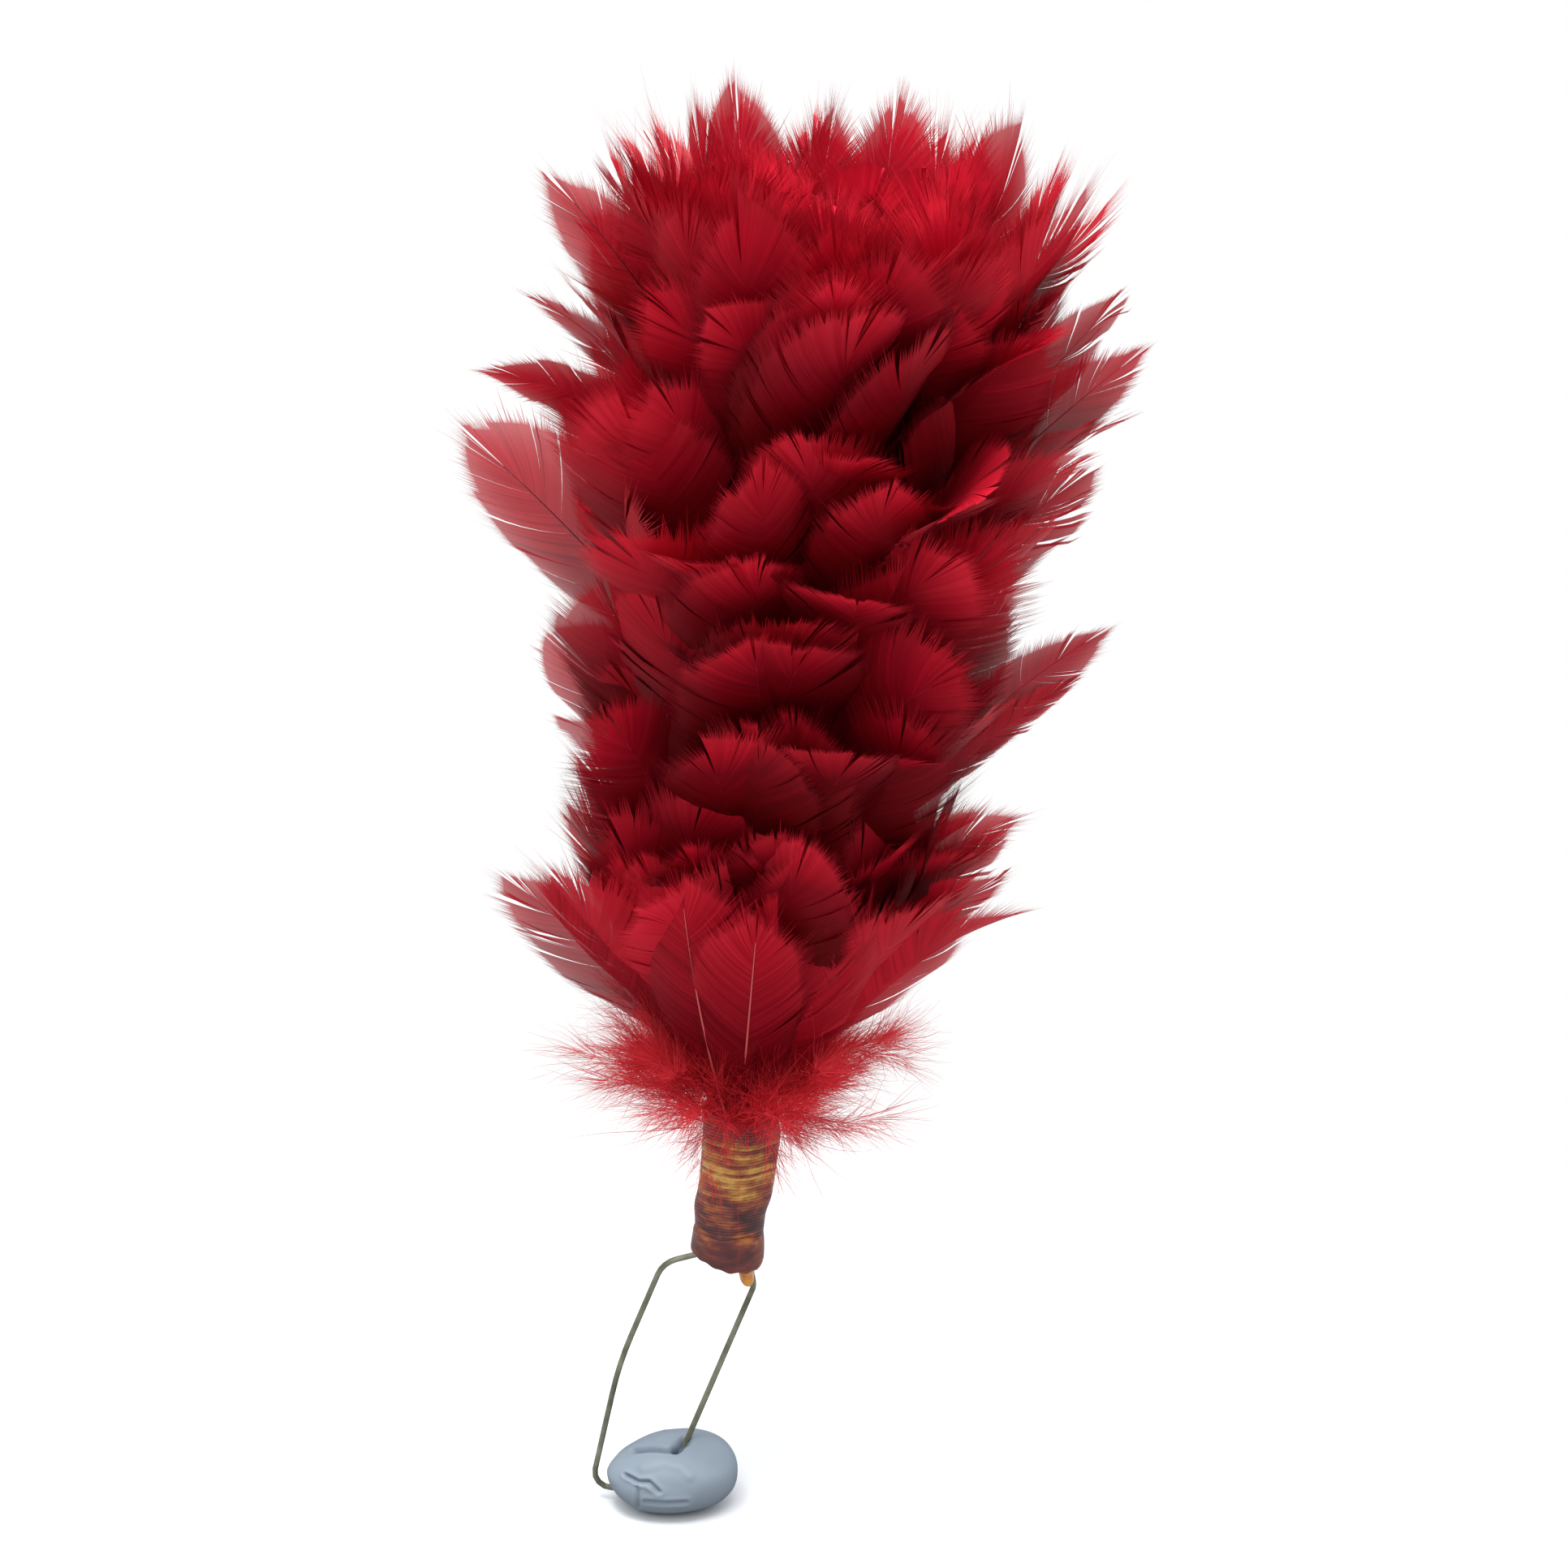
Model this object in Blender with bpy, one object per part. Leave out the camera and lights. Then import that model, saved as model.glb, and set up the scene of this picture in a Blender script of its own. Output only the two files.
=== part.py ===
"""A feather hackle: a red cap plume on a wire loop, stood up in a lump of putty.

Tiers of feathers are lashed one above the other round a thin cane rod. Below them the stem is
wrapped in thread and closed by a varnished band, and a bent wire loop comes out of the band. The
loop's lower end sits in a groove in the putty foot, from which the whole plume lifts out.

Units are metres, +Z is up, and the origin is the centre of the putty's flat underside. The plume
is modelled round the local Z axis of the empty "stem", which leans to the side, towards +X.
Each small bunch of feathers that is lashed on together is one closed solid, a fan.
"""

import math
from collections import namedtuple

import bmesh
import bpy
from mathutils import Matrix, Vector

MM = 0.001

# Stem: the centre of its lower end over the putty, and how far it leans towards +X.
STEM_FOOT = Vector((7.8, 0.0, 38.25)) * MM
STEM_LEAN = math.radians(6.0)

# Rod of cane that everything is tied to. Heights are along the stem, from its lower end.
ROD_RADIUS = 2.2 * MM
ROD_TIP_RADIUS = 1.9 * MM
ROD_FROM = 2.0 * MM
ROD_TO = 141.0 * MM
ROD_EDGE = 0.4 * MM

# Thread wrap, and the cup-shaped band that closes the stem's lower end.
BORE = 4.35 * MM
WRAP_FROM = 5.1 * MM
WRAP_TO = 23.5 * MM
WRAP_RADIUS = 4.95 * MM
WRAP_TOP_FLARE = 0.6 * MM
WRAP_RIDGE = 0.12 * MM
WRAP_RIDGES = 7
BAND_RADIUS = 5.35 * MM
BAND_FLOOR = 1.6 * MM
BAND_TO = 4.8 * MM
BAND_CHAMFER = 0.6 * MM

# Wire loop: its corner points in the stem's own XZ plane, and the radius of each bend.
WIRE_RADIUS = 0.45 * MM
WIRE_CORNERS = (
    ((-3.6, 17.0), 0.0),
    ((-3.6, 2.5), 1.2),
    ((-9.2, 0.3), 4.2),
    ((-14.1, -17.0), 60.0),
    ((-16.4, -38.3), 2.6),
    ((-5.1, -37.1), 1.8),
    ((4.6, -2.0), 2.5),
    ((3.6, 1.6), 2.5),
    ((3.6, 17.0), 0.0),
)
LOOP_BOTTOM_LEFT = 4
LOOP_BOTTOM_RIGHT = 5
WIRE_SIDES = 8
BEND_STEPS = 4
WIRE_CLEARANCE = 0.25 * MM

# Glue bead under the band, against the wire.
BEAD_CENTRE = Vector((3.0, 0.0, -1.95)) * MM
BEAD_RADII = Vector((1.35, 1.2, 1.75)) * MM

# Feather fans. The quills lie straight along the rod, then the vanes leave it at an angle and
# curve in an arc, most of them back towards upright.
QUILL_RADIUS = 3.1 * MM
QUILL_HALF_WIDTH = 0.85 * MM
QUILL_LENGTH = 4.0 * MM
LOWEST_QUILL_LENGTH = 20.5 * MM
FAN_THICKNESS = 1.05 * MM
FAN_GAP = math.radians(2.3)
FAN_OPENS_BY = 0.35
FAN_ROWS = (0.25, 0.5, 0.75, 1.0)
LOBES = 3
LOBE_DEPTH = 0.13

# Tiers from the bottom up. Each fan of a tier leaves its base at base_angle from the stem's axis
# and ends at rim_radius, rise above the base. Lengths in mm, angles in degrees.
Tier = namedtuple("Tier", "name base fans first_azimuth rim_radius rise base_angle")
TIER_PITCH = 14.0
FIRST_BASE = 24.5
TIERS = (
    Tier("tier_1", FIRST_BASE, 6, 30.0, 36.0, 41.0, 38.0),
    Tier("tier_2", FIRST_BASE + TIER_PITCH, 5, 0.0, 28.0, 35.0, 40.0),
    Tier("tier_3", FIRST_BASE + 2 * TIER_PITCH, 5, 0.0, 30.0, 40.0, 46.0),
    Tier("tier_4", FIRST_BASE + 3 * TIER_PITCH, 5, 36.0, 32.0, 42.0, 46.0),
    Tier("tier_5", FIRST_BASE + 4 * TIER_PITCH, 5, 36.0, 36.0, 40.0, 51.0),
    Tier("tier_6", FIRST_BASE + 5 * TIER_PITCH, 5, 0.0, 38.0, 41.0, 52.0),
    Tier("tier_7", FIRST_BASE + 6 * TIER_PITCH, 5, 36.0, 37.0, 44.0, 50.0),
    Tier("crown_outer", FIRST_BASE + 7 * TIER_PITCH, 5, 0.0, 33.0, 42.0, 41.0),
    Tier("crown_inner", FIRST_BASE + 8 * TIER_PITCH, 4, 45.0, 17.0, 26.0, 54.0),
)

# Fans unlike the rest of their tier: how much further out they end, and how much wider they start.
Change = namedtuple("Change", "reach angle")
NO_CHANGE = Change(0.0, 0.0)
FAN_CHANGES = {
    "tier_1_feathers_3": Change(4.0, 0.0),
    "tier_1_feathers_4": Change(4.0, 0.0),
    "tier_1_feathers_5": Change(-9.0, 0.0),
    "tier_3_feathers_1": Change(12.0, -20.0),
    "tier_5_feathers_3": Change(12.0, -21.0),
    "tier_6_feathers_1": Change(5.0, 0.0),
}

# Thread lashing round the quills of each tier above the first, just below the tier's base.
LASHING_DROP = 1.9 * MM
LASHING_INNER = 3.95 * MM
LASHING_OUTER = 4.7 * MM
LASHING_CROWN = 0.25 * MM
LASHING_HEIGHT = 2.2 * MM

# Putty foot, in world axes: an egg-shaped lump, taller towards +X, cut flat on the ground.
PUTTY_CENTRE = Vector((-0.2, 0.0, 4.3)) * MM
PUTTY_RADII = Vector((9.6, 7.8, 5.9)) * MM
PUTTY_TALLER = 0.16
GROOVE_WIDTH = 1.5 * MM
GROOVE_GAP = 0.3 * MM
GROOVE_HEIGHT = 30.0 * MM
GROOVE_LENGTH = 22.0 * MM

ROUND_SIDES = 24
THIN_SIDES = 18
SHARP_ANGLE = math.radians(40.0)

# Base colour, roughness and metallic value of each material.
MATERIALS = {
    "red_feather": ((0.42, 0.012, 0.022), 0.75, 0.0),
    "waxed_thread": ((0.34, 0.13, 0.045), 0.45, 0.0),
    "varnished_band": ((0.15, 0.035, 0.022), 0.35, 0.0),
    "amber_glue": ((0.75, 0.34, 0.03), 0.15, 0.0),
    "galvanised_wire": ((0.24, 0.25, 0.20), 0.42, 0.9),
    "cane": ((0.55, 0.40, 0.22), 0.6, 0.0),
    "grey_putty": ((0.33, 0.38, 0.45), 0.6, 0.0),
}


def clear_scene():
    for obj in list(bpy.data.objects):
        bpy.data.objects.remove(obj)


def material(name):
    found = bpy.data.materials.get(name)
    if found:
        return found
    colour, roughness, metallic = MATERIALS[name]
    made = bpy.data.materials.new(name)
    made.use_nodes = True
    shader = made.node_tree.nodes["Principled BSDF"]
    shader.inputs["Base Color"].default_value = (*colour, 1.0)
    shader.inputs["Roughness"].default_value = roughness
    shader.inputs["Metallic"].default_value = metallic
    made.diffuse_color = (*colour, 1.0)
    return made


def add_object(name, mesh, material_name, parent):
    obj = bpy.data.objects.new(name, mesh)
    bpy.context.scene.collection.objects.link(obj)
    obj.parent = parent
    if not mesh.materials:
        mesh.materials.append(material(material_name))
    return obj


def add_cutter(name, mesh, parent):
    """A guide that only cuts other pieces, and isn't a piece itself."""
    obj = bpy.data.objects.new(name, mesh)
    bpy.context.scene.collection.objects.link(obj)
    obj.parent = parent
    obj.hide_render = True
    obj.display_type = "WIRE"
    return obj


def cut(obj, cutter):
    modifier = obj.modifiers.new("cut_" + cutter.name, "BOOLEAN")
    modifier.operation = "DIFFERENCE"
    modifier.object = cutter


def mesh_from(bm, name):
    bmesh.ops.recalc_face_normals(bm, faces=bm.faces)
    mesh = bpy.data.meshes.new(name)
    bm.to_mesh(mesh)
    bm.free()
    mesh.shade_smooth()
    mesh.set_sharp_from_angle(angle=SHARP_ANGLE)
    return mesh


def bridge(bm, lower, upper):
    """Faces between two rings of points. A ring of one point closes the surface on the axis."""
    sides = max(len(lower), len(upper))
    for i in range(sides):
        j = (i + 1) % sides
        corners = (lower[i % len(lower)], lower[j % len(lower)], upper[j % len(upper)], upper[i % len(upper)])
        distinct = list(dict.fromkeys(corners))
        if len(distinct) > 2:
            bm.faces.new(distinct)


def turned_mesh(name, profile, sides):
    """A solid turned about Z, from the (radius, height) points of its outline.

    An outline that starts and ends on the axis is closed by it. Any other is closed on itself.
    """
    bm = bmesh.new()
    rings = []
    for radius, height in profile:
        if radius == 0.0:
            rings.append([bm.verts.new((0.0, 0.0, height))])
            continue
        turns = [2 * math.pi * i / sides for i in range(sides)]
        rings.append([bm.verts.new((radius * math.cos(t), radius * math.sin(t), height)) for t in turns])
    for lower, upper in zip(rings, rings[1:]):
        bridge(bm, lower, upper)
    if len(rings[0]) > 1:
        bridge(bm, rings[-1], rings[0])
    return mesh_from(bm, name)


def corner_frame(before, corner, after):
    """Unit vectors towards both neighbours of a corner, their bisector and half their angle."""
    to_before = (before - corner).normalized()
    to_after = (after - corner).normalized()
    bisector = (to_before + to_after).normalized()
    return to_before, to_after, bisector, to_before.angle(to_after) / 2


def wire_path():
    """The wire's centre line in the stem's XZ plane: straight legs joined by round bends."""
    points = [Vector(point) * MM for point, _ in WIRE_CORNERS]
    path = [points[0]]
    for i in range(1, len(points) - 1):
        radius = WIRE_CORNERS[i][1] * MM
        to_before, to_after, bisector, half = corner_frame(*points[i - 1 : i + 2])
        centre = points[i] + bisector * (radius / math.sin(half))
        start = points[i] + to_before * (radius / math.tan(half)) - centre
        end = points[i] + to_after * (radius / math.tan(half)) - centre
        sweep = start.angle_signed(end)
        for step in range(BEND_STEPS + 1):
            spoke = start.copy()
            spoke.rotate(Matrix.Rotation(-sweep * step / BEND_STEPS, 2))
            path.append(centre + spoke)
    path.append(points[-1])
    return path


def bar_mesh(name, path, radius):
    """A round bar with flat ends along a path in the XZ plane."""
    bm = bmesh.new()
    across = Vector((0.0, 1.0, 0.0))
    rings = []
    for i, point in enumerate(path):
        step = path[min(i + 1, len(path) - 1)] - path[max(i - 1, 0)]
        side = Vector((step.y, 0.0, -step.x)).normalized()
        ring = []
        for k in range(WIRE_SIDES):
            turn = 2 * math.pi * (k + 0.5) / WIRE_SIDES
            offset = side * math.cos(turn) + across * math.sin(turn)
            ring.append(bm.verts.new(Vector((point.x, 0.0, point.y)) + offset * radius))
        rings.append(ring)
    for lower, upper in zip(rings, rings[1:]):
        bridge(bm, lower, upper)
    bm.faces.new(rings[0])
    bm.faces.new(rings[-1])
    return mesh_from(bm, name)


def make_stem_frame():
    stem = bpy.data.objects.new("stem", None)
    bpy.context.scene.collection.objects.link(stem)
    stem.location = STEM_FOOT
    stem.rotation_euler = (0.0, STEM_LEAN, 0.0)
    return stem


def make_core_rod(stem):
    profile = (
        (0.0, ROD_FROM),
        (ROD_RADIUS - ROD_EDGE, ROD_FROM),
        (ROD_RADIUS, ROD_FROM + ROD_EDGE),
        (ROD_TIP_RADIUS, ROD_TO - ROD_EDGE),
        (ROD_TIP_RADIUS - ROD_EDGE, ROD_TO),
        (0.0, ROD_TO),
    )
    add_object("core_rod", turned_mesh("core_rod", profile, THIN_SIDES), "cane", stem)


def make_stem_wrap(stem):
    """The thread wrap: a sleeve whose outside waves with the ridges of the thread."""
    profile = [(BORE, WRAP_TO), (BORE, WRAP_FROM)]
    steps = 2 * WRAP_RIDGES
    for i in range(steps + 1):
        share = i / steps
        ridge = WRAP_RIDGE / 2 if i % 2 else -WRAP_RIDGE / 2
        radius = WRAP_RADIUS + WRAP_TOP_FLARE * share**2 + ridge
        profile.append((radius, WRAP_FROM + (WRAP_TO - WRAP_FROM) * share))
    add_object("stem_wrap", turned_mesh("stem_wrap", profile, ROUND_SIDES), "waxed_thread", stem)


def make_end_band(stem, channel):
    """The varnished band: a cup, pierced where the two ends of the wire go in."""
    profile = (
        (0.0, 0.0),
        (BAND_RADIUS - BAND_CHAMFER, 0.0),
        (BAND_RADIUS, BAND_CHAMFER),
        (BAND_RADIUS, BAND_TO - BAND_CHAMFER / 2),
        (BAND_RADIUS - BAND_CHAMFER / 2, BAND_TO),
        (BORE, BAND_TO),
        (BORE, BAND_FLOOR),
        (0.0, BAND_FLOOR),
    )
    band = add_object("end_band", turned_mesh("end_band", profile, ROUND_SIDES), "varnished_band", stem)
    cut(band, channel)


def make_wire_loop(stem):
    add_object("wire_loop", bar_mesh("wire_loop", wire_path(), WIRE_RADIUS), "galvanised_wire", stem)


def make_wire_channel(stem):
    """The room round the wire, cut out of the band and the glue bead."""
    mesh = bar_mesh("wire_channel", wire_path(), WIRE_RADIUS + WIRE_CLEARANCE)
    return add_cutter("wire_channel", mesh, stem)


def make_glue_bead(stem, channel):
    bm = bmesh.new()
    bmesh.ops.create_uvsphere(bm, u_segments=14, v_segments=8, radius=1.0)
    shape = Matrix.Translation(BEAD_CENTRE) @ Matrix.Diagonal((*BEAD_RADII, 1.0))
    bmesh.ops.transform(bm, matrix=shape, verts=bm.verts)
    bead = add_object("glue_bead", mesh_from(bm, "glue_bead"), "amber_glue", stem)
    cut(bead, channel)


def fan_arc(tier, change):
    """Base angle, bend per metre and length of the arc from a tier's base to its rim."""
    base_angle = math.radians(tier.base_angle + change.angle)
    rise = tier.rise * MM
    reach = (tier.rim_radius + change.reach) * MM - QUILL_RADIUS
    tip_angle = 2 * math.atan2(reach, rise) - base_angle
    bend = (math.sin(tip_angle) - math.sin(base_angle)) / rise
    return base_angle, bend, (tip_angle - base_angle) / bend


def arc_point(arc, base, along, off):
    """(radius, height) at a distance along a fan's arc, and off outwards from it."""
    base_angle, bend, _ = arc
    if along <= 0:
        return QUILL_RADIUS + off, base + along
    angle = base_angle + bend * along
    radius = QUILL_RADIUS + (math.cos(base_angle) - math.cos(angle)) / bend
    height = base + (math.sin(angle) - math.sin(base_angle)) / bend
    return radius + off * math.cos(angle), height - off * math.sin(angle)


def fan_sheet(bm, tier, arc, quill, off):
    """The points of one side of a fan round azimuth 0, in rows from the quills to the tips."""
    length = arc[2]
    quill_half = QUILL_HALF_WIDTH / QUILL_RADIUS
    full_half = math.pi / tier.fans - FAN_GAP
    sheet = []
    for row in (-quill, 0.0, *(share * length for share in FAN_ROWS)):
        line = []
        for column in range(-LOBES, LOBES + 1):
            between_lobes = (column + LOBES) % 2 == 0
            along = row * (1 - LOBE_DEPTH) if between_lobes and row > 0 else row
            opened = min(1.0, max(0.0, along / (FAN_OPENS_BY * length)))
            azimuth = (quill_half + (full_half - quill_half) * opened) * column / LOBES
            radius, height = arc_point(arc, tier.base * MM, along, off)
            line.append(bm.verts.new((radius * math.cos(azimuth), radius * math.sin(azimuth), height)))
        sheet.append(line)
    return sheet


def edge_of(sheet):
    """The points round the outside of a grid of points, in order."""
    right = [line[-1] for line in sheet[1:-1]]
    left = [line[0] for line in sheet[-2:0:-1]]
    return sheet[0] + right + sheet[-1][::-1] + left


def fan_mesh(tier, change):
    """A bunch of feathers as a closed sheet, with one pointed lobe for each feather."""
    quill = LOWEST_QUILL_LENGTH if tier is TIERS[0] else QUILL_LENGTH
    arc = fan_arc(tier, change)
    bm = bmesh.new()
    inner = fan_sheet(bm, tier, arc, quill, -FAN_THICKNESS / 2)
    outer = fan_sheet(bm, tier, arc, quill, FAN_THICKNESS / 2)
    for sheet in (inner, outer):
        for lower, upper in zip(sheet, sheet[1:]):
            for c in range(len(lower) - 1):
                bm.faces.new((lower[c], lower[c + 1], upper[c + 1], upper[c]))
    bridge(bm, edge_of(inner), edge_of(outer))
    return mesh_from(bm, tier.name + "_fan")


def make_tier(stem, tier):
    """The fans of one tier in a ring. Fans of the same shape share one mesh."""
    meshes = {}
    for i in range(tier.fans):
        name = f"{tier.name}_feathers_{i + 1}"
        change = FAN_CHANGES.get(name, NO_CHANGE)
        if change not in meshes:
            meshes[change] = fan_mesh(tier, change)
        fan = add_object(name, meshes[change], "red_feather", stem)
        fan.rotation_euler.z = math.radians(tier.first_azimuth) + 2 * math.pi * i / tier.fans


def make_lashing(stem, tier):
    """A few turns of thread, drawn as one ring round the quills."""
    middle = tier.base * MM - LASHING_DROP
    half = LASHING_HEIGHT / 2
    profile = (
        (LASHING_INNER, middle + half),
        (LASHING_INNER, middle - half),
        (LASHING_OUTER - LASHING_CROWN, middle - half),
        (LASHING_OUTER, middle),
        (LASHING_OUTER - LASHING_CROWN, middle + half),
    )
    name = tier.name + "_lashing"
    add_object(name, turned_mesh(name, profile, THIN_SIDES), "waxed_thread", stem)


def make_groove(stem):
    """The room that the loop's lower end needs in the putty, and sweeps when it lifts out.

    It is a slab in the loop's own plane: its floor runs under the loop's lower bar, and its
    right-hand side runs up along the right leg.
    """
    left = Vector(WIRE_CORNERS[LOOP_BOTTOM_LEFT][0]) * MM
    right = Vector(WIRE_CORNERS[LOOP_BOTTOM_RIGHT][0]) * MM
    above = Vector(WIRE_CORNERS[LOOP_BOTTOM_RIGHT + 1][0]) * MM
    to_left, up_the_leg, bisector, half = corner_frame(left, right, above)
    corner = right - bisector * ((WIRE_RADIUS + GROOVE_GAP) / math.sin(half))
    outline = (
        corner,
        corner + up_the_leg * GROOVE_HEIGHT,
        corner + up_the_leg * GROOVE_HEIGHT + to_left * GROOVE_LENGTH,
        corner + to_left * GROOVE_LENGTH,
    )
    bm = bmesh.new()
    near, far = ([bm.verts.new((p.x, y, p.y)) for p in outline] for y in (-GROOVE_WIDTH / 2, GROOVE_WIDTH / 2))
    bridge(bm, near, far)
    bm.faces.new(near)
    bm.faces.new(far)
    return add_cutter("groove", mesh_from(bm, "groove"), stem)


def make_putty_foot(groove):
    bm = bmesh.new()
    bmesh.ops.create_uvsphere(bm, u_segments=28, v_segments=16, radius=1.0)
    for vert in bm.verts:
        taller = 1 + PUTTY_TALLER * vert.co.x
        vert.co = (vert.co.x * PUTTY_RADII.x, vert.co.y * PUTTY_RADII.y, vert.co.z * PUTTY_RADII.z * taller)
        vert.co += PUTTY_CENTRE
    geometry = bm.verts[:] + bm.edges[:] + bm.faces[:]
    cut_open = bmesh.ops.bisect_plane(
        bm, geom=geometry, plane_co=(0.0, 0.0, 0.0), plane_no=(0.0, 0.0, -1.0), clear_outer=True
    )
    rim = [part for part in cut_open["geom_cut"] if isinstance(part, bmesh.types.BMEdge)]
    bmesh.ops.contextual_create(bm, geom=rim)
    foot = add_object("putty_foot", mesh_from(bm, "putty_foot"), "grey_putty", None)
    cut(foot, groove)


def main():
    clear_scene()
    stem = make_stem_frame()
    channel = make_wire_channel(stem)
    make_core_rod(stem)
    make_stem_wrap(stem)
    make_end_band(stem, channel)
    make_wire_loop(stem)
    make_glue_bead(stem, channel)
    for tier in TIERS:
        make_tier(stem, tier)
        if tier is not TIERS[0]:
            make_lashing(stem, tier)
    make_putty_foot(make_groove(stem))


main()
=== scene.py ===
"""The looks of the feather hackle: feathers, bound stem, wire loop and putty, round the CAD frame."""
import math
from collections import namedtuple

import bpy
import numpy as np
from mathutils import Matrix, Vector


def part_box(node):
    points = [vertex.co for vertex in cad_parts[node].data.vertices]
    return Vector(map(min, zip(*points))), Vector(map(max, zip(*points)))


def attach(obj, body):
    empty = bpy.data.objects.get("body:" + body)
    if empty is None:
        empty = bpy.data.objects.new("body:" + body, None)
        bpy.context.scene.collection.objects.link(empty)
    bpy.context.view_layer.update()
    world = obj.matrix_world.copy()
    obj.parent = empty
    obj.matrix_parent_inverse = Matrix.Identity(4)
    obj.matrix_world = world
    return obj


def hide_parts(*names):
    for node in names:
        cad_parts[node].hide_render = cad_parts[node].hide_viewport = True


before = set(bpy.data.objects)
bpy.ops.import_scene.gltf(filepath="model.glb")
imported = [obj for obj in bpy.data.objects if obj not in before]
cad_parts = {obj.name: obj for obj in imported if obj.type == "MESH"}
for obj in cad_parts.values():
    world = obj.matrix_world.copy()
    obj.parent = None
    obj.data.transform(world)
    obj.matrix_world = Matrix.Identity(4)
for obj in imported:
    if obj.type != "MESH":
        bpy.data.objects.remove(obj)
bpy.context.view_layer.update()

MM = 0.001
SEED = 417
FULL_TURN = 2 * math.pi

# Feathers: a quill along the stem, then a curved shaft with barbs on both sides of it.
QUILL_RADIUS = 3.1 * MM
QUILL_LENGTH = 4 * MM
LOWEST_QUILL_LENGTH = 18 * MM
LASHING_DROP = 1.9 * MM
SHAFT_STEPS = 14
SHAFT_THICKNESS = 0.26 * MM
BARB_PITCH = 0.38 * MM
BARB_DENSITY = 1.35
BARB_STEPS = 5
BARB_LENGTH = 16.5 * MM
BARB_CURL = 0.30
SHARED_BARBS = (5, 24)
LOOSE_BARBS = (1, 4)
LOOSE_SPREAD = 2.0
SHARED_SPREAD = 0.7
LOOSE_RUFFLE = 2.0
HAIR_CLEAR = 0.25
STRIPS_PER_TUFT = 5
TUFTED_FROM = 3 * MM

# Feathers of each tier: how far they reach (mm), how much they close over the stem (degrees), how
# much less they do at the sides, how far the front ones are drawn in, how light their colour is
# (tier_2 and tier_3 darkened as painted shade), and how light they stay towards their foot under
# painted shade.
Tier = namedtuple("Tier", "reach bow side_flare front_pull tone shade")
TIERS = {
    "tier_1": Tier(36, 2.0, 14.0, 0.36, 0.06, 0.6),
    "tier_2": Tier(28, -2.0, 2.0, 0.15, -0.24, -0.75),
    "tier_3": Tier(30, -3.0, 2.0, 0.0, -0.22, -0.5),
    "tier_4": Tier(32, -3.0, 2.0, 0.0, -0.08, -0.2),
    "tier_5": Tier(36, -3.0, 2.0, 0.0, 0.0, -0.14),
    "tier_6": Tier(38, -3.0, 2.0, 0.0, 0.0, -0.14),
    "tier_7": Tier(37, -3.0, 2.0, 0.0, -0.10, -0.14),
    "crown_outer": Tier(36, 4.0, 2.0, 0.0, -0.14, 0.1),
    "crown_inner": Tier(19, 14.0, 2.0, 0.0, -0.14, 0.2),
}

# Rows of feathers in one bunch: how many, their share of the tier's reach and of the bunch's
# rise, and how much more than the tier's own they close over the stem (degrees).
Row = namedtuple("Row", "count wide tall closing")
USUAL_ROWS = (Row(3, 0.86, 0.86, 0), Row(2, 0.72, 0.93, 0))
OPEN_ROWS = (Row(2, 0.72, 0.90, 0),)
CROWN_ROWS = {
    "crown_outer": (Row(4, 0.88, 0.81, 0), Row(3, 0.74, 0.84, 0)),
    "crown_inner": (Row(3, 1.05, 0.80, 0), Row(3, 0.68, 0.78, 10), Row(2, 0.35, 0.74, 18)),
}
ROW_WIDTH = 0.96
OPEN_BUNCHES = ("tier_1_feathers_5",)
CROWN_BACK_RAISE = 0.08
SHINGLE_TWIST = math.radians(9)
SIDE_TWIST = math.radians(38)
CROWN_SIDE_TWIST = math.radians(14)

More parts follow.
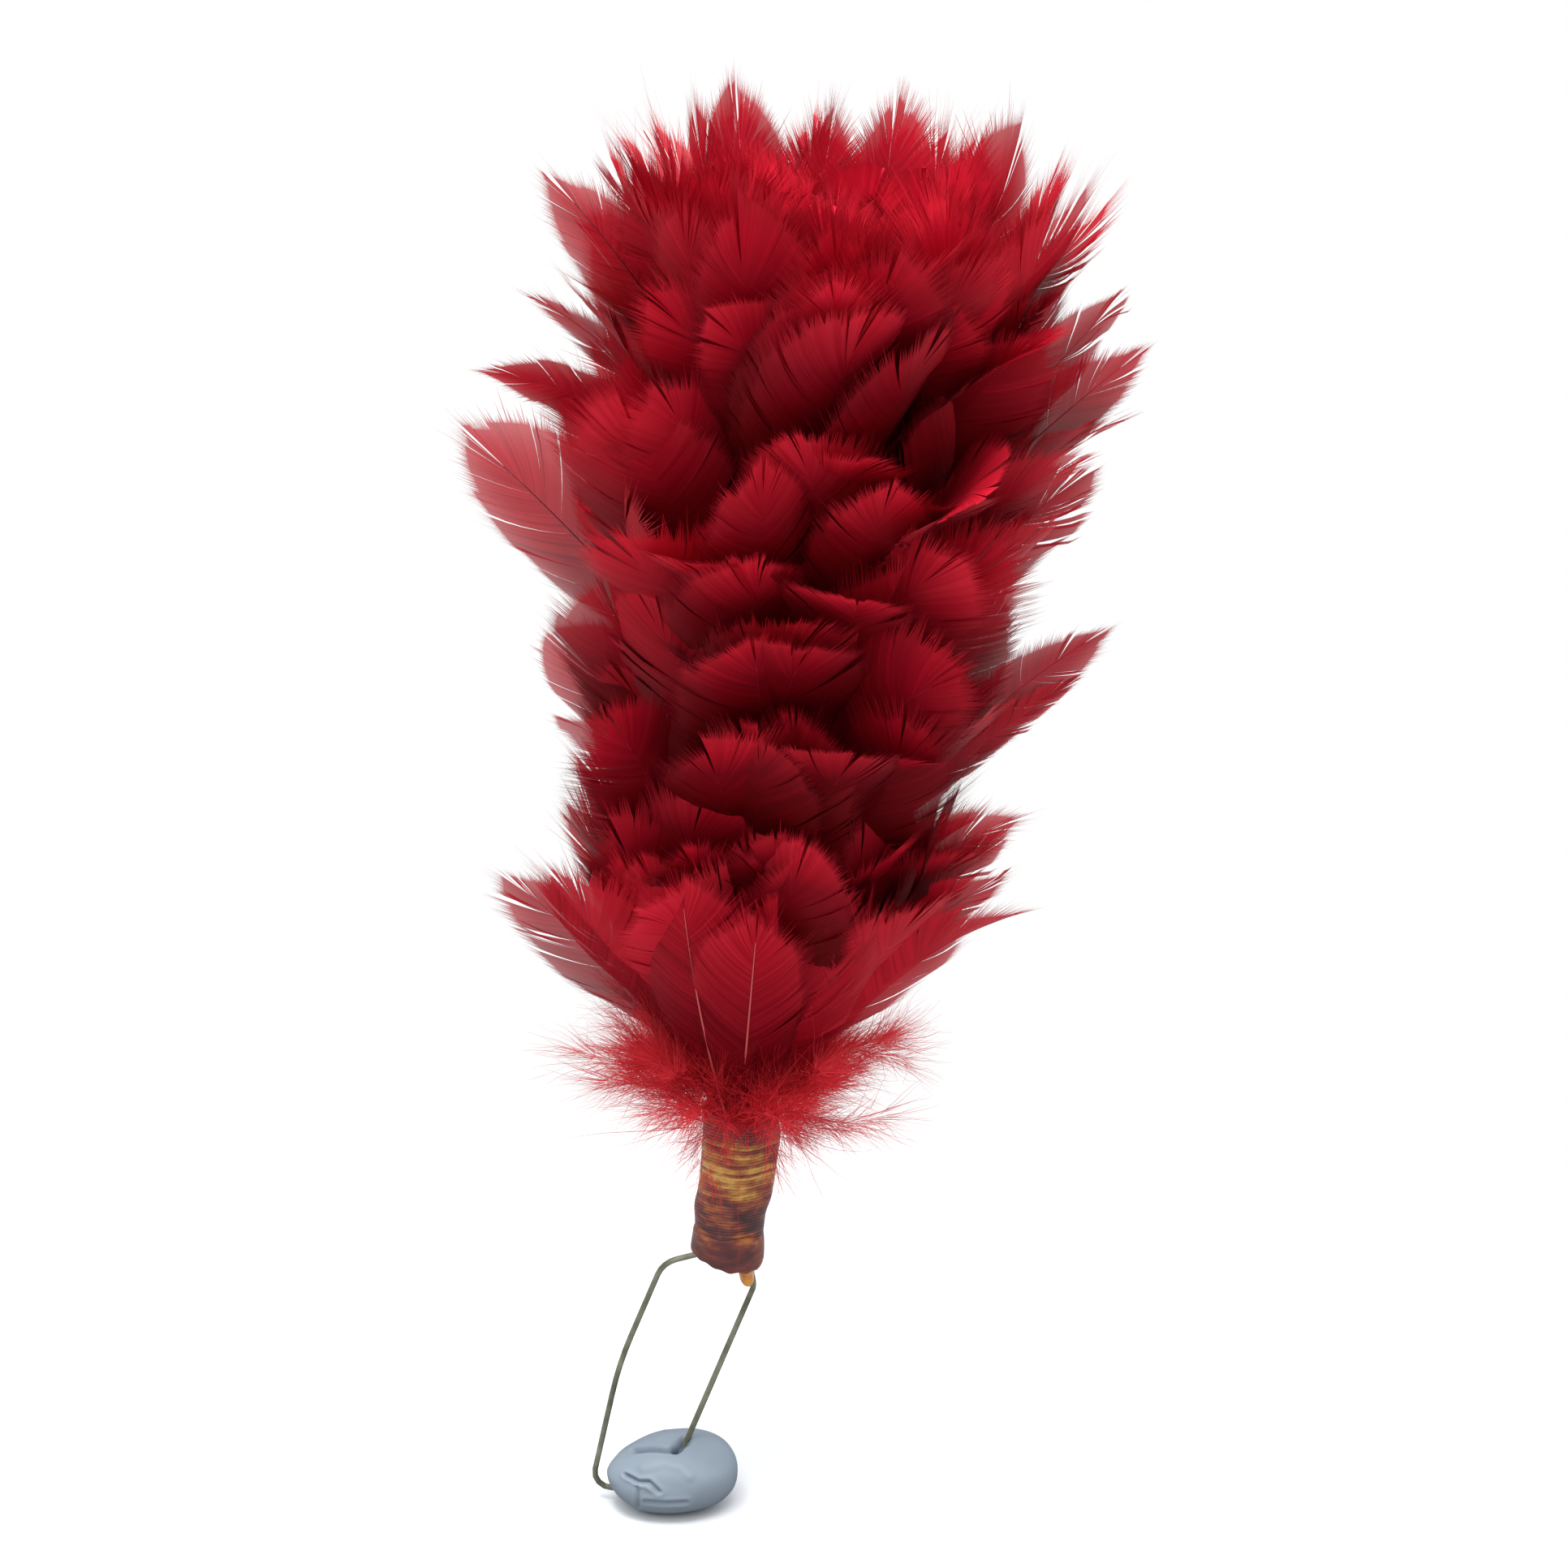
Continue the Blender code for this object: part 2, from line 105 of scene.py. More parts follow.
# Feathers that stand out from the rest: where the tip is, from the stem's axis and foot (mm),
# and how the feather leans, bends and twists there (degrees). The tip's last barbs stand past it.
Hero = namedtuple("Hero", "bunch azimuth reach height lean bow tip twist look")
PALE = {
    "clear": 0.05, "edge_clear": 0.16, "tone": 0.80, "open": 0.02, "solid": 0.95,
    "ridge": 0.0, "shaft_tone": 0.0, "streak": 0.3,
}
RIDGED = {
    "clear": 0.0, "tone": 0.45, "shade": 0.5, "solid": 0.84, "fringe": 1.2 * MM,
    "ridge": 1.0, "shaft_tone": 0.95, "streak": 0.24,
}
THIN = {"barb": 8 * MM, "blunt": 0.6, "open": 0.35}
# How light a hero feather stays towards its foot under painted shade.
HERO_SHADE = 0.6
HEROES = (
    Hero("tier_5_feathers_3", 180, 49.5, 121, 60, -6, 8, 70, dict(PALE, barb=16 * MM)),
    Hero("tier_6_feathers_3", 178, 49.2, 129.5, 92, -38, 5, 60, THIN),
    Hero("tier_7_feathers_3", 182, 41.7, 159, 54, -12, 7, 65, dict(PALE, barb=13 * MM)),
    Hero("tier_7_feathers_3", 186, 42.9, 144, 58, -16, 5, 40, THIN),
    Hero("tier_4_feathers_3", 180, 34, 94, 48, -4, 8, 60, PALE),
    Hero("tier_3_feathers_3", 184, 32, 81.5, 72, -22, 7, 50, {"clear": 0.1}),
    Hero("tier_1_feathers_4", 190, 40.5, 59, 68, -10, 7, 60, {"barb": 12 * MM, "clear": 0.08}),
    Hero("tier_3_feathers_1", 0, 44.8, 102.5, 60, -12, 5, -65, {"barb": 9 * MM, "open": 0.3, "clear": 0.03}),
    Hero("tier_3_feathers_1", 4, 43, 94.5, 62, -10, 5, -50, {"barb": 8 * MM, "open": 0.5}),
    Hero("tier_2_feathers_1", -8, 35.5, 74, 72, -22, 5, -60, {"barb": 10 * MM, "open": 0.4}),
    Hero("tier_1_feathers_1", -4, 35, 72, 60, -10, 5, -50, {"barb": 9 * MM, "open": 0.4}),
    Hero("tier_1_feathers_6", -14, 35.5, 67, 64, -16, 5, -40, {"barb": 10 * MM}),
    Hero("tier_6_feathers_1", 0, 44.7, 143.5, 50, -6, 6, -65, {"barb": 12 * MM, "open": 0.5}),
    Hero("tier_6_feathers_1", 5, 40.7, 149, 45, -4, 6, -50, {"barb": 12 * MM, "open": 0.5}),
    Hero("tier_5_feathers_1", -4, 38.6, 125, 55, -8, 6, -60, {"open": 0.6}),
    Hero("tier_1_feathers_5", 266, 25, 64, 24, 2, 5, 4, dict(RIDGED, open=0.5, barb=13 * MM)),
    Hero("tier_1_feathers_5", 240, 26, 68, 22, 6, 6, 14, dict(RIDGED, open=0.1)),
)

# Down round the foot of the plume: tufts in a bunch, hairs in a tuft, the height it starts at and
# its length (mm), its lean from the stem's axis (degrees), and how clear its hairs are.
Down = namedtuple("Down", "tufts hairs start length lean clear")
DOWN_KINDS = (
    Down(7, 210, (-1.5, 3.0), (8, 14), (18, 52), 0.0),
    Down(7, 210, (0.0, 10.0), (7, 17), (40, 85), 0.1),
    Down(2, 70, (-1.0, 0.5), (3, 8), (100, 140), 0.3),
)
DOWN_RADIUS = 4.4 * MM
DOWN_FRONT_LEAN = math.radians(75)
DOWN_WIDTH = 0.10 * MM
DOWN_LENGTH = 8.0 * MM
HAIR_STEPS = 4
STRAYS = 3
STRAY_WIDTH = 0.15 * MM
STRAY_LENGTH = (9, 20)

# The bound stem, from its foot.
WRAP_FROM = 4.4 * MM
WRAP_TO = 24.0 * MM
WRAP_RADIUS = 4.85 * MM
WRAP_BORE = 4.38 * MM
WRAP_SWELL = 0.55 * MM
WRAP_LUMP = 0.10 * MM
WRAP_KNOB = 0.35 * MM
WRAP_KNOB_AT = 8 * MM
WRAP_WELT = 0.55 * MM
THREAD_PITCH = 0.48 * MM
THREAD_RIDGE = 0.17 * MM
THREAD_TILT = 0.55 * MM
THREAD_WANDER = 0.22 * MM
ROWS_PER_THREAD = 8
WRAP_COLUMNS = 84
BAND_RADIUS = 5.3 * MM
BAND_TOP = 5.0 * MM
BAND_SLANT = 0.7 * MM
BAND_RAGGED = 0.30 * MM
BAND_CREASE = 0.19 * MM
BAND_ROUNDING = 0.5 * MM
BAND_GRID = (60, 96)
CAP_SHARE = 0.2
BEAD_CENTRE = np.array([3.1, -0.4, -1.9]) * MM
BEAD_SIZE = np.array([1.45, 1.3, 2.1]) * MM
BEAD_GRID = (24, 36)

# Creases and folds pressed into the putty, as seen from the front (mm right, mm up), each with
# its depth or rise and its width in mm.
PUTTY_CREASES = (
    (((-5.6, 6.6), (-3.5, 6.8), (-0.3, 6.7), (0.9, 7.2)), 0.7, 0.32),
    (((0.3, 7.0), (1.6, 8.2)), 1.2, 0.6),
    (((-6.6, 3.3), (-4.8, 2.4), (-3.4, 2.4), (-2.0, 1.2)), 0.6, 0.22),
    (((-4.9, 1.7), (-4.8, -0.6)), 0.4, 0.22),
    (((-3.8, 0.0), (-1.2, -0.2), (1.6, -0.1)), 0.4, 0.22),
)
PUTTY_FOLDS = (
    (((-4.2, 4.2), (-1.4, 4.9), (1.0, 4.3), (2.1, 3.2)), 0.35, 0.7),
    (((-4.6, 2.0), (-3.2, 1.6)), 0.25, 0.4),
)
PUTTY_GRID = (150, 220)
PUTTY_BOXINESS = 2.25
PUTTY_RIGHT_RISE = 0.5 * MM
PUTTY_LEFT_DROP = 2.2 * MM
PUTTY_DENTS = 26
PUTTY_DENT_DEPTH = 0.16 * MM

# Colours along each ramp, in linear light.
VANE_COLOURS = ((0.0, (0.34, 0.002, 0.012)), (0.5, (0.52, 0.004, 0.019)), (1.0, (0.66, 0.016, 0.036)))
VANE_PATCH = (0.28, 0.001, 0.010)
VANE_EDGE = (0.85, 0.06, 0.08)
# Painted shade towards a feather's foot and a painted highlight at its rim, multiplied into its colour.
VANE_PAINTED_LIGHT_AND_SHADE = ((0.42, (0.22, 0.06, 0.10)), (0.74, (0.46, 0.38, 0.44)), (0.97, (1.14, 1.14, 1.14)))
SHAFT_COLOURS = ((0.1, (0.06, 0.004, 0.010)), (0.6, (0.36, 0.008, 0.020)), (1.0, (0.66, 0.11, 0.11)))
DOWN_COLOURS = ((0.3, (0.56, 0.008, 0.026)), (1.0, (0.90, 0.07, 0.09)))
WRAP_COLOURS = (
    (0.05, (0.045, 0.008, 0.010)), (0.30, (0.15, 0.022, 0.018)), (0.52, (0.36, 0.085, 0.022)),
    (0.72, (0.50, 0.22, 0.035)), (0.95, (0.76, 0.46, 0.10)),
)
BAND_COLOURS = (
    (0.0, (0.035, 0.006, 0.009)), (0.45, (0.12, 0.018, 0.017)), (0.75, (0.24, 0.045, 0.022)),
    (1.0, (0.52, 0.18, 0.035)),
)
VARNISH_DARK = (0.05, 0.02, 0.02)
GLUE_COLOURS = ((0.3, (0.62, 0.17, 0.01)), (0.7, (0.85, 0.42, 0.02)))
PUTTY_COLOURS = ((0.0, (0.10, 0.13, 0.16)), (0.45, (0.22, 0.275, 0.33)), (1.0, (0.30, 0.36, 0.42)))
PUTTY_DARK = (0.16, 0.2, 0.27)
WIRE_COLOURS = ((0.35, (0.12, 0.12, 0.08)), (0.55, (0.24, 0.24, 0.17)), (0.75, (0.36, 0.36, 0.28)))
THREAD_COLOURS = ((0.3, (0.10, 0.01, 0.015)), (0.7, (0.30, 0.03, 0.03)))
CANE_COLOURS = ((0.3, (0.22, 0.11, 0.04)), (0.7, (0.48, 0.30, 0.13)))

# Camera and stage.
VIEW_TARGET = Vector((16.6, 0.0, 114.8)) * MM
VIEW_ELEVATION = math.radians(20)
VIEW_DISTANCE = 0.6
LENS = 97.2
SKY_COLOUR = (0.96, 0.98, 1.0, 1.0)
SKY_LIGHT = 1.7
SIDE_LIGHT = 0.08
FLOOR_SIZE = 2.0
FLOOR_SEEN = (0.93, 0.95, 0.97)
FLOOR_UNSEEN = (0.35, 0.36, 0.37)
FLOOR_FADE = (0.04, 0.16)
WHITE = (1.0, 1.0, 1.0, 1.0)
Lamp = namedtuple("Lamp", "name place width power")
LAMPS = (
    Lamp("top_light", (0.0, -0.15, 1.1), 0.6, 12.0),
    Lamp("front_light", (-0.4, -0.9, 0.9), 0.6, 1.6),
)


# ---------------------------------------------------------------- mesh helpers


class Shape:
    """Points, faces and per-point marks, collected until they become one mesh.

    A point's four marks are: how far across or along its strand it is, how much painted light or
    shade it gets, its tone, and how clear it is.
    """

    def __init__(self):
        self.points = []
        self.marks = []
        self.faces = {3: [], 4: []}
        self.slots = {3: [], 4: []}
        self.count = 0

    def add(self, points, marks, faces, slot=0):
        """Adds points (n, 3) with marks (n, 4), and arrays of faces that index them."""
        for block in faces:
            self.faces[block.shape[1]].append(block + self.count)
            self.slots[block.shape[1]].append(np.full(len(block), slot))
        self.points.append(points)
        self.marks.append(np.broadcast_to(marks, (len(points), 4)))
        self.count += len(points)

    def build(self, name, materials):
        """One smooth mesh object of everything that was added."""
        points = np.concatenate(self.points)
        sizes = [k for k in (3, 4) if self.faces[k]]
        loops = np.concatenate([np.concatenate(self.faces[k]).ravel() for k in sizes])
        totals = np.concatenate([np.full(sum(len(b) for b in self.faces[k]), k) for k in sizes])
        slots = np.concatenate([np.concatenate(self.slots[k]) for k in sizes])
        mesh = bpy.data.meshes.new(name)
        mesh.vertices.add(len(points))
        mesh.vertices.foreach_set("co", points.astype(np.float32).ravel())
        mesh.loops.add(len(loops))
        mesh.loops.foreach_set("vertex_index", loops.astype(np.int32))
        mesh.polygons.add(len(totals))
        starts = np.concatenate([[0], np.cumsum(totals)[:-1]])
        mesh.polygons.foreach_set("loop_start", starts.astype(np.int32))
        mesh.polygons.foreach_set("material_index", slots.astype(np.int32))
        mesh.update(calc_edges=True)
        marks = mesh.attributes.new("marks", "FLOAT_COLOR", "POINT")
        marks.data.foreach_set("color", np.concatenate(self.marks).astype(np.float32).ravel())
        mesh.shade_smooth()
        for material in materials:
            mesh.materials.append(material)
        obj = bpy.data.objects.new(name, mesh)
        bpy.context.scene.collection.objects.link(obj)
        return obj


def make_piece(shape, name, materials, body, node, stem=None):
    """A piece that rides a body in place of a CAD node. Points on the stem's axes need stem."""
    if stem:
        shape.points = [stem.world(points) for points in shape.points]
    piece = shape.build(name, materials)
    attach(piece, body)
    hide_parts(node)


def grid_faces(rows, columns, closed=False):
    """Quads over a grid of points stored row by row. Closed joins the last column to the first."""
    i, j = np.meshgrid(np.arange(rows - 1), np.arange(columns if closed else columns - 1), indexing="ij")
    here = i * columns + j
    right = i * columns + (j + 1) % columns
    return np.stack([here, right, right + columns, here + columns], axis=-1).reshape(-1, 4)


def ring_faces(lower, upper):
    """Quads between two closed rings of point numbers."""
    return np.stack([lower, np.roll(lower, -1), np.roll(upper, -1), upper], axis=-1)


def smooth(x, low, high):
    """0 below low, 1 above high, and an easy curve between them."""
    t = np.clip((x - low) / (high - low), 0.0, 1.0)
    return t * t * (3 - 2 * t)


def hump(x, middle, width):
    return np.exp(-(((x - middle) / width) ** 2))


def ball_grid(rows, columns):
    """Directions over a ball, rows from the bottom to the top."""
    angle, up = np.meshgrid(
        np.linspace(0, FULL_TURN, columns, endpoint=False),
        np.linspace(-math.pi / 2, math.pi / 2, rows),
    )
    return np.stack([np.cos(up) * np.cos(angle), np.cos(up) * np.sin(angle), np.sin(up)], axis=-1)


def spoke(azimuth):
    """The direction out from the stem's axis at an azimuth."""
    return np.array([math.cos(azimuth), math.sin(azimuth), 0.0])


# ---------------------------------------------------------------- what the frame says


def box_centre(node):
    low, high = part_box(node)
    return (Vector(low) + Vector(high)) / 2


class Stem:
    """The stem's own axes, from the ring-shaped lashings that are centred on it."""

    def __init__(self):
        low = box_centre("tier_2_lashing")
        self.up = (box_centre("crown_inner_lashing") - low).normalized()
        self.pitch = (box_centre("tier_3_lashing") - low).dot(self.up)
        self.foot = low - self.up * (low - box_centre("end_band")).dot(self.up)
        self.right = Vector((0.0, 1.0, 0.0)).cross(self.up).normalized()
        self.back = self.up.cross(self.right).normalized()
        self.axes = np.array([self.right, self.back, self.up])

    def local(self, points):
        return (points - np.array(self.foot)) @ self.axes.T

    def world(self, points):
        return points @ self.axes + np.array(self.foot)

    def base_of(self, tier):
        """Height of a tier's base above the stem's foot."""
        if tier == "tier_1":
            return self.base_of("tier_2") - self.pitch
        return (box_centre(tier + "_lashing") - self.foot).dot(self.up) + LASHING_DROP


class Bunch:
    """Where one CAD bunch of feathers is: its base, its middle azimuth, its width and its rise."""

    def __init__(self, stem, node):
        self.node = node
        self.tier_name = node.rsplit("_feathers_", 1)[0]
        self.tier = TIERS[self.tier_name]
        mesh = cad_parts[node].data
        points = np.empty(len(mesh.vertices) * 3, dtype=np.float32)
        mesh.vertices.foreach_get("co", points)
        local = stem.local(points.reshape(-1, 3).astype(float))
        vane = local[np.hypot(local[:, 0], local[:, 1]) > 2.5 * QUILL_RADIUS]
        middle = vane[:, :2].mean(axis=0)
        self.azimuth = math.atan2(middle[1], middle[0])
        turned = np.arctan2(vane[:, 1], vane[:, 0]) - self.azimuth
        self.half_sector = np.abs((turned + np.pi) % FULL_TURN - np.pi).max()
        self.base = stem.base_of(self.tier_name)
        self.rise = local[:, 2].max() - self.base

    def in_crown(self):
        return self.tier_name.startswith("crown")

    def rows(self):
        if self.node in OPEN_BUNCHES:
            return OPEN_ROWS
        return CROWN_ROWS.get(self.tier_name, USUAL_ROWS)

    def random_azimuth(self, rng):
        return self.azimuth + self.half_sector * rng.uniform(-1, 1)


# ---------------------------------------------------------------- feathers


class Shaft:
    """The curved centre line of a feather, with the directions across it and out of it.

    A positive bow starts out wide and closes over the stem, and a negative one flares.
    """

    def __init__(self, azimuth, base, reach, rise, bow, curl=0.0, sway=0.0, twist=0.0):
        chord = math.atan2(reach - QUILL_RADIUS, rise)
        span = math.hypot(reach - QUILL_RADIUS, rise)
        self.length = span * bow / math.sin(bow) if bow else span
        t = np.linspace(0.0, 1.4, 57)
        step = t[1] * self.length
        angle = chord + bow * (1 - 2 * t) + curl * smooth(t, 0.55, 1.2)
        side = sway * (t - 0.5)
        around = np.array([-math.sin(azimuth), math.cos(azimuth), 0.0])
        outward = spoke(azimuth)
        upward = np.array([0.0, 0.0, 1.0])
        rising = np.sin(angle)[:, None] * outward + np.cos(angle)[:, None] * upward
        tangent = np.cos(side)[:, None] * rising + np.sin(side)[:, None] * around
        normal = np.cos(angle)[:, None] * outward - np.sin(angle)[:, None] * upward
        across = np.cross(tangent, normal)
        turn = (twist * smooth(t, 0.0, 0.7))[:, None]
        self.normal = normal * np.cos(turn) + across * np.sin(turn)
        self.across = across * np.cos(turn) - normal * np.sin(turn)
        self.at = t * self.length
        walked = np.vstack([np.zeros(3), np.cumsum((tangent[1:] + tangent[:-1]) / 2 * step, axis=0)])
        self.line = walked + outward * QUILL_RADIUS + upward * base

    def read(self, track, y):
        return np.stack([np.interp(y, self.at, track[:, k]) for k in range(3)], axis=-1)

    def place(self, x, y, lift, cup):
        """Points for x across the vane and y along it, cupped round the shaft."""
        bent = x / cup
        out = lift - cup * (1 - np.cos(bent))
        return (
            self.read(self.line, y)
            + self.read(self.across, y) * (cup * np.sin(bent))[..., None]
            + self.read(self.normal, y) * out[..., None]
        )


def feather_look(rng, **changes):
    """How one feather's vane is made. Every value can be changed for a particular feather."""
    look = {
        "bare": 0.12,
        "barb": BARB_LENGTH * rng.uniform(0.72, 1.18),
        "blunt": rng.uniform(0.5, 0.65),
        "lopsided": rng.normal(0, 0.10),
        "angle": math.radians(rng.uniform(50, 62)),
        "open": rng.uniform(0.05, 0.5),
        "spread": math.radians(rng.uniform(1.5, 5.5)),
        "ruffle": rng.uniform(0.1, 0.5) * MM,
        "wave": rng.uniform(0.1, 0.5) * MM,
        "wave_length": rng.uniform(1.6, 3.0) * MM,
        "phase": rng.uniform(0, 6.28),
        "cup": rng.uniform(14, 26) * MM,
        "solid": rng.uniform(0.80, 0.95),
        "fringe": rng.uniform(0.3, 1.1) * MM,
        "tufted": rng.uniform(0.1, 0.6),
        "ridge": -1.0,
        "shaft_tone": 0.5,
        "streak": 0.15,
        # how light the foot stays under painted shade
        "shade": 0.0,
        "tone": rng.uniform(0.1, 0.9),
        "clear": rng.uniform(0.0, 0.06),
        "edge_clear": rng.uniform(0.02, 0.18),
    }
    look.update(changes)
    return look


def usual_look(rng, bunch, azimuth):
    """The look of a feather that doesn't stand out: frayed and with less painted shade at the sides, and
    softer in the crown.
    """
    # The tier's shade sets the painted shade towards the foot, and its tone darkens tier_2 and tier_3 as
    # painted shade.
    look = feather_look(rng, shade=bunch.tier.shade)
    look["tone"] += bunch.tier.tone
    if abs(math.cos(azimuth)) > 0.6:
        look["solid"] = rng.uniform(0.70, 0.9)
        look["fringe"] *= 1.4
        look["shade"] += 0.40
    if bunch.in_crown():
        look["barb"] *= 0.8
        look["blunt"] = rng.uniform(0.25, 0.45)
        look["solid"] = rng.uniform(0.66, 0.9)
        look["fringe"] *= 1.5
        look["open"] = rng.uniform(0.4, 0.9)
    return look


Clumps = namedtuple("Clumps", "sizes lines owner left")


def clump_barbs(rng, total, open_share):
    """Groups of barbs that cling together along one side of a vane.

    Each clump draws both edges of its strips of barbs, so that it can part from its neighbours.
    lines holds the barb that each drawn line follows, owner the clump that the line is in, and
    left the line on the left of each strip.
    """
    sizes = []
    while sum(sizes) < total:
        bounds = LOOSE_BARBS if rng.random() < open_share else SHARED_BARBS
        sizes.append(int(rng.integers(*bounds)))
    sizes[-1] -= sum(sizes) - total
    sizes = np.array([size for size in sizes if size > 0])
    firsts = np.cumsum(sizes) - sizes
    lines = np.concatenate([np.arange(size + 1) + first for size, first in zip(sizes, firsts)])
    left = [np.arange(size) + first + k for k, (size, first) in enumerate(zip(sizes, firsts))]
    return Clumps(sizes, lines, np.repeat(np.arange(len(sizes)), sizes + 1), np.concatenate(left))


def vane_outline(shaft, look, side):
    """For each barb: its share of the vane's length, its root, its own length and its angle."""
    vane_length = (1 - look["bare"]) * shaft.length
    steps = np.linspace(0, 1, int(BARB_DENSITY * vane_length / BARB_PITCH))
    share = steps * (1.2 - 0.2 * steps**4)
    roots = shaft.length - vane_length * (1 - share)
    width = smooth(share, -0.35, 0.45) * (1 - look["blunt"] * smooth(share, 0.55, 1.15))
    reach = look["barb"] * width * (1 + look["lopsided"] * side)
    angle = look["angle"] * (1 - smooth(share, 0.80, 1.03))
    return share, roots, reach, angle


def walk(steps):
    """Running totals along each row, from 0."""
    return np.hstack([np.zeros((len(steps), 1)), np.cumsum(steps, axis=1)])


class Barbs:
    """The barbs on one side of a vane, in clumps.

    Each array has a row for every drawn line: x across the vane, y along it and lift out of it,
    and u, the share of a whole barb's length.
    """

    def __init__(self, rng, shaft, look, side):
        share, roots, reach, angle = vane_outline(shaft, look, side)
        self.count = len(roots)
        self.clumps = clump_barbs(rng, self.count - 1, look["open"])
        sizes, lines, owner, self.left = self.clumps
        loose = sizes < LOOSE_BARBS[1]
        calm = 1 - 0.6 * smooth(share[lines], 0.65, 0.95)
        spread = rng.normal(0, look["spread"], len(sizes)) * np.where(loose, LOOSE_SPREAD, SHARED_SPREAD)
        ruffle = rng.normal(0, look["ruffle"], len(sizes)) * np.where(loose, LOOSE_RUFFLE, 1.0)
        solid = np.minimum(look["solid"] * rng.uniform(0.86, 1.04, len(sizes))[owner], 0.95)
        self.missing = (1 - solid) * reach[lines]
        self.u = np.linspace(0, 1, BARB_STEPS + 1) * solid[:, None]
        strayed = (spread[owner] * calm)[:, None] * smooth(self.u, 0.2, 1.0)
        self.heading = angle[lines][:, None] * (1 - BARB_CURL * self.u) + strayed
        step = (reach[lines] * solid / BARB_STEPS)[:, None]
        self.x = walk(np.sin(self.heading[:, 1:]) * step)
        self.y = roots[lines][:, None] + walk(np.cos(self.heading[:, 1:]) * step)
        wave = look["wave"] * np.sin(self.y / look["wave_length"] + look["phase"] + side) * self.u**2
        self.lift = ruffle[owner][:, None] * self.u**2 + wave

    def marks(self, rng, shaft, look):
        """Clumps and single barbs differ a little in tone, and the foot gets painted shade."""
        sizes, lines, owner, _ = self.clumps
        tone = look["tone"] + rng.normal(0, 0.06, len(sizes))[owner]
        tone += rng.normal(0, look["streak"], self.count)[lines]
        risen = np.clip(self.y / (shaft.length + 0.45 * look["barb"]), 0, 1)
        light = np.clip(look["shade"] + (1 - look["shade"]) * risen, 0, 1)
        clear = look["clear"] + look["edge_clear"] * self.u**3
        return np.stack([self.u, light, np.broadcast_to(tone[:, None], self.u.shape), clear], axis=-1)

    def ends(self, rng, look):
        """Where barbs end: for each strip the middle of its end, then two fine hairs on it.

        Hairs are drawn together in tufts, a few strips at a time.
        """
        left = self.left
        x, y = self.x[:, -1], self.y[:, -1]
        ends = [((x[left] + x[left + 1]) / 2, (y[left] + y[left + 1]) / 2)]
        tuft = np.arange(len(left)) // STRIPS_PER_TUFT
        members = np.bincount(tuft)[tuft]
        for part in (0.25, 0.75):
            length = rng.exponential(look["fringe"], len(left)) + self.missing[left]
            way = self.heading[left, -1] + rng.normal(0, 0.06, len(left))
            tip_x = x[left] * (1 - part) + x[left + 1] * part + np.sin(way) * length
            tip_y = y[left] * (1 - part) + y[left + 1] * part + np.cos(way) * length
            pull = look["tufted"] * np.minimum(length / TUFTED_FROM, 1.0)
            tip_x += pull * (np.bincount(tuft, tip_x)[tuft] / members - tip_x)
            tip_y += pull * (np.bincount(tuft, tip_y)[tuft] / members - tip_y)
            ends.append((tip_x, tip_y))
        return np.concatenate(ends, axis=1)

    def faces(self):
        """Quads between neighbouring lines, and the hairs' spikes on the end of each strip."""
        strips = len(self.left)
        row = BARB_STEPS + 1
        here = (self.left[:, None] * row + np.arange(BARB_STEPS)).ravel()
        last = self.left * row + BARB_STEPS
        middle = self.x.size + np.arange(strips)
        spikes = np.vstack([
            np.stack([last, middle + strips, middle], axis=-1),
            np.stack([middle, middle + 2 * strips, last + row], axis=-1),
        ])
        return np.stack([here, here + 1, here + row + 1, here + row], axis=-1), spikes


def vane_side(rng, shape, shaft, look, side):
    """One side of a vane: barbs joined near the shaft and frayed at their tips."""
    barbs = Barbs(rng, shaft, look, side)
    marks = barbs.marks(rng, shaft, look)
    end_x, end_y = barbs.ends(rng, look)
    strips = len(barbs.left)
    end_marks = np.tile(marks[barbs.left, -1], (3, 1))
    end_marks[strips:, 0] = 1.0
    end_marks[strips:, 3] = np.minimum(end_marks[strips:, 3] + HAIR_CLEAR, 0.9)
    points = np.vstack([
        shaft.place(side * barbs.x, barbs.y, barbs.lift, look["cup"]).reshape(-1, 3),
        shaft.place(side * end_x, end_y, np.tile(barbs.lift[barbs.left, -1], 3), look["cup"]),
    ])
    faces = [block[:, ::side] for block in barbs.faces()]
    shape.add(points, np.vstack([marks.reshape(-1, 4), end_marks]), faces)


def shaft_tube(shape, shaft, look, quill):
    """The feather's shaft, from its quill to its tip, as a thin tapered bar."""
    y = np.linspace(0, shaft.length, SHAFT_STEPS)
    thick = SHAFT_THICKNESS * (1 - 0.8 * y / shaft.length)
    sides = []
    for turn in (0.0, 0.5 * math.pi, math.pi, 1.5 * math.pi):
        sides.append(shaft.place(thick * math.cos(turn), y, thick * (math.sin(turn) + look["ridge"]), 1.0))
    grid = np.stack(sides, axis=1)
    foot = grid[:1] - np.array([0.0, 0.0, quill])
    grid = np.vstack([foot, grid])
    rows = len(grid)
    top = 4 * rows - 4
    caps = np.array([[3, 2, 1, 0], [top, top + 1, top + 2, top + 3]])
    marks = np.array([0.0, 0.0, look["shaft_tone"], 0.0])
    shape.add(grid.reshape(-1, 3), marks, [grid_faces(rows, 4, closed=True), caps], slot=1)


def feather(rng, shape, shaft, look, quill):
    for side in (-1, 1):
        vane_side(rng, shape, shaft, look, side)
    shaft_tube(shape, shaft, look, quill)


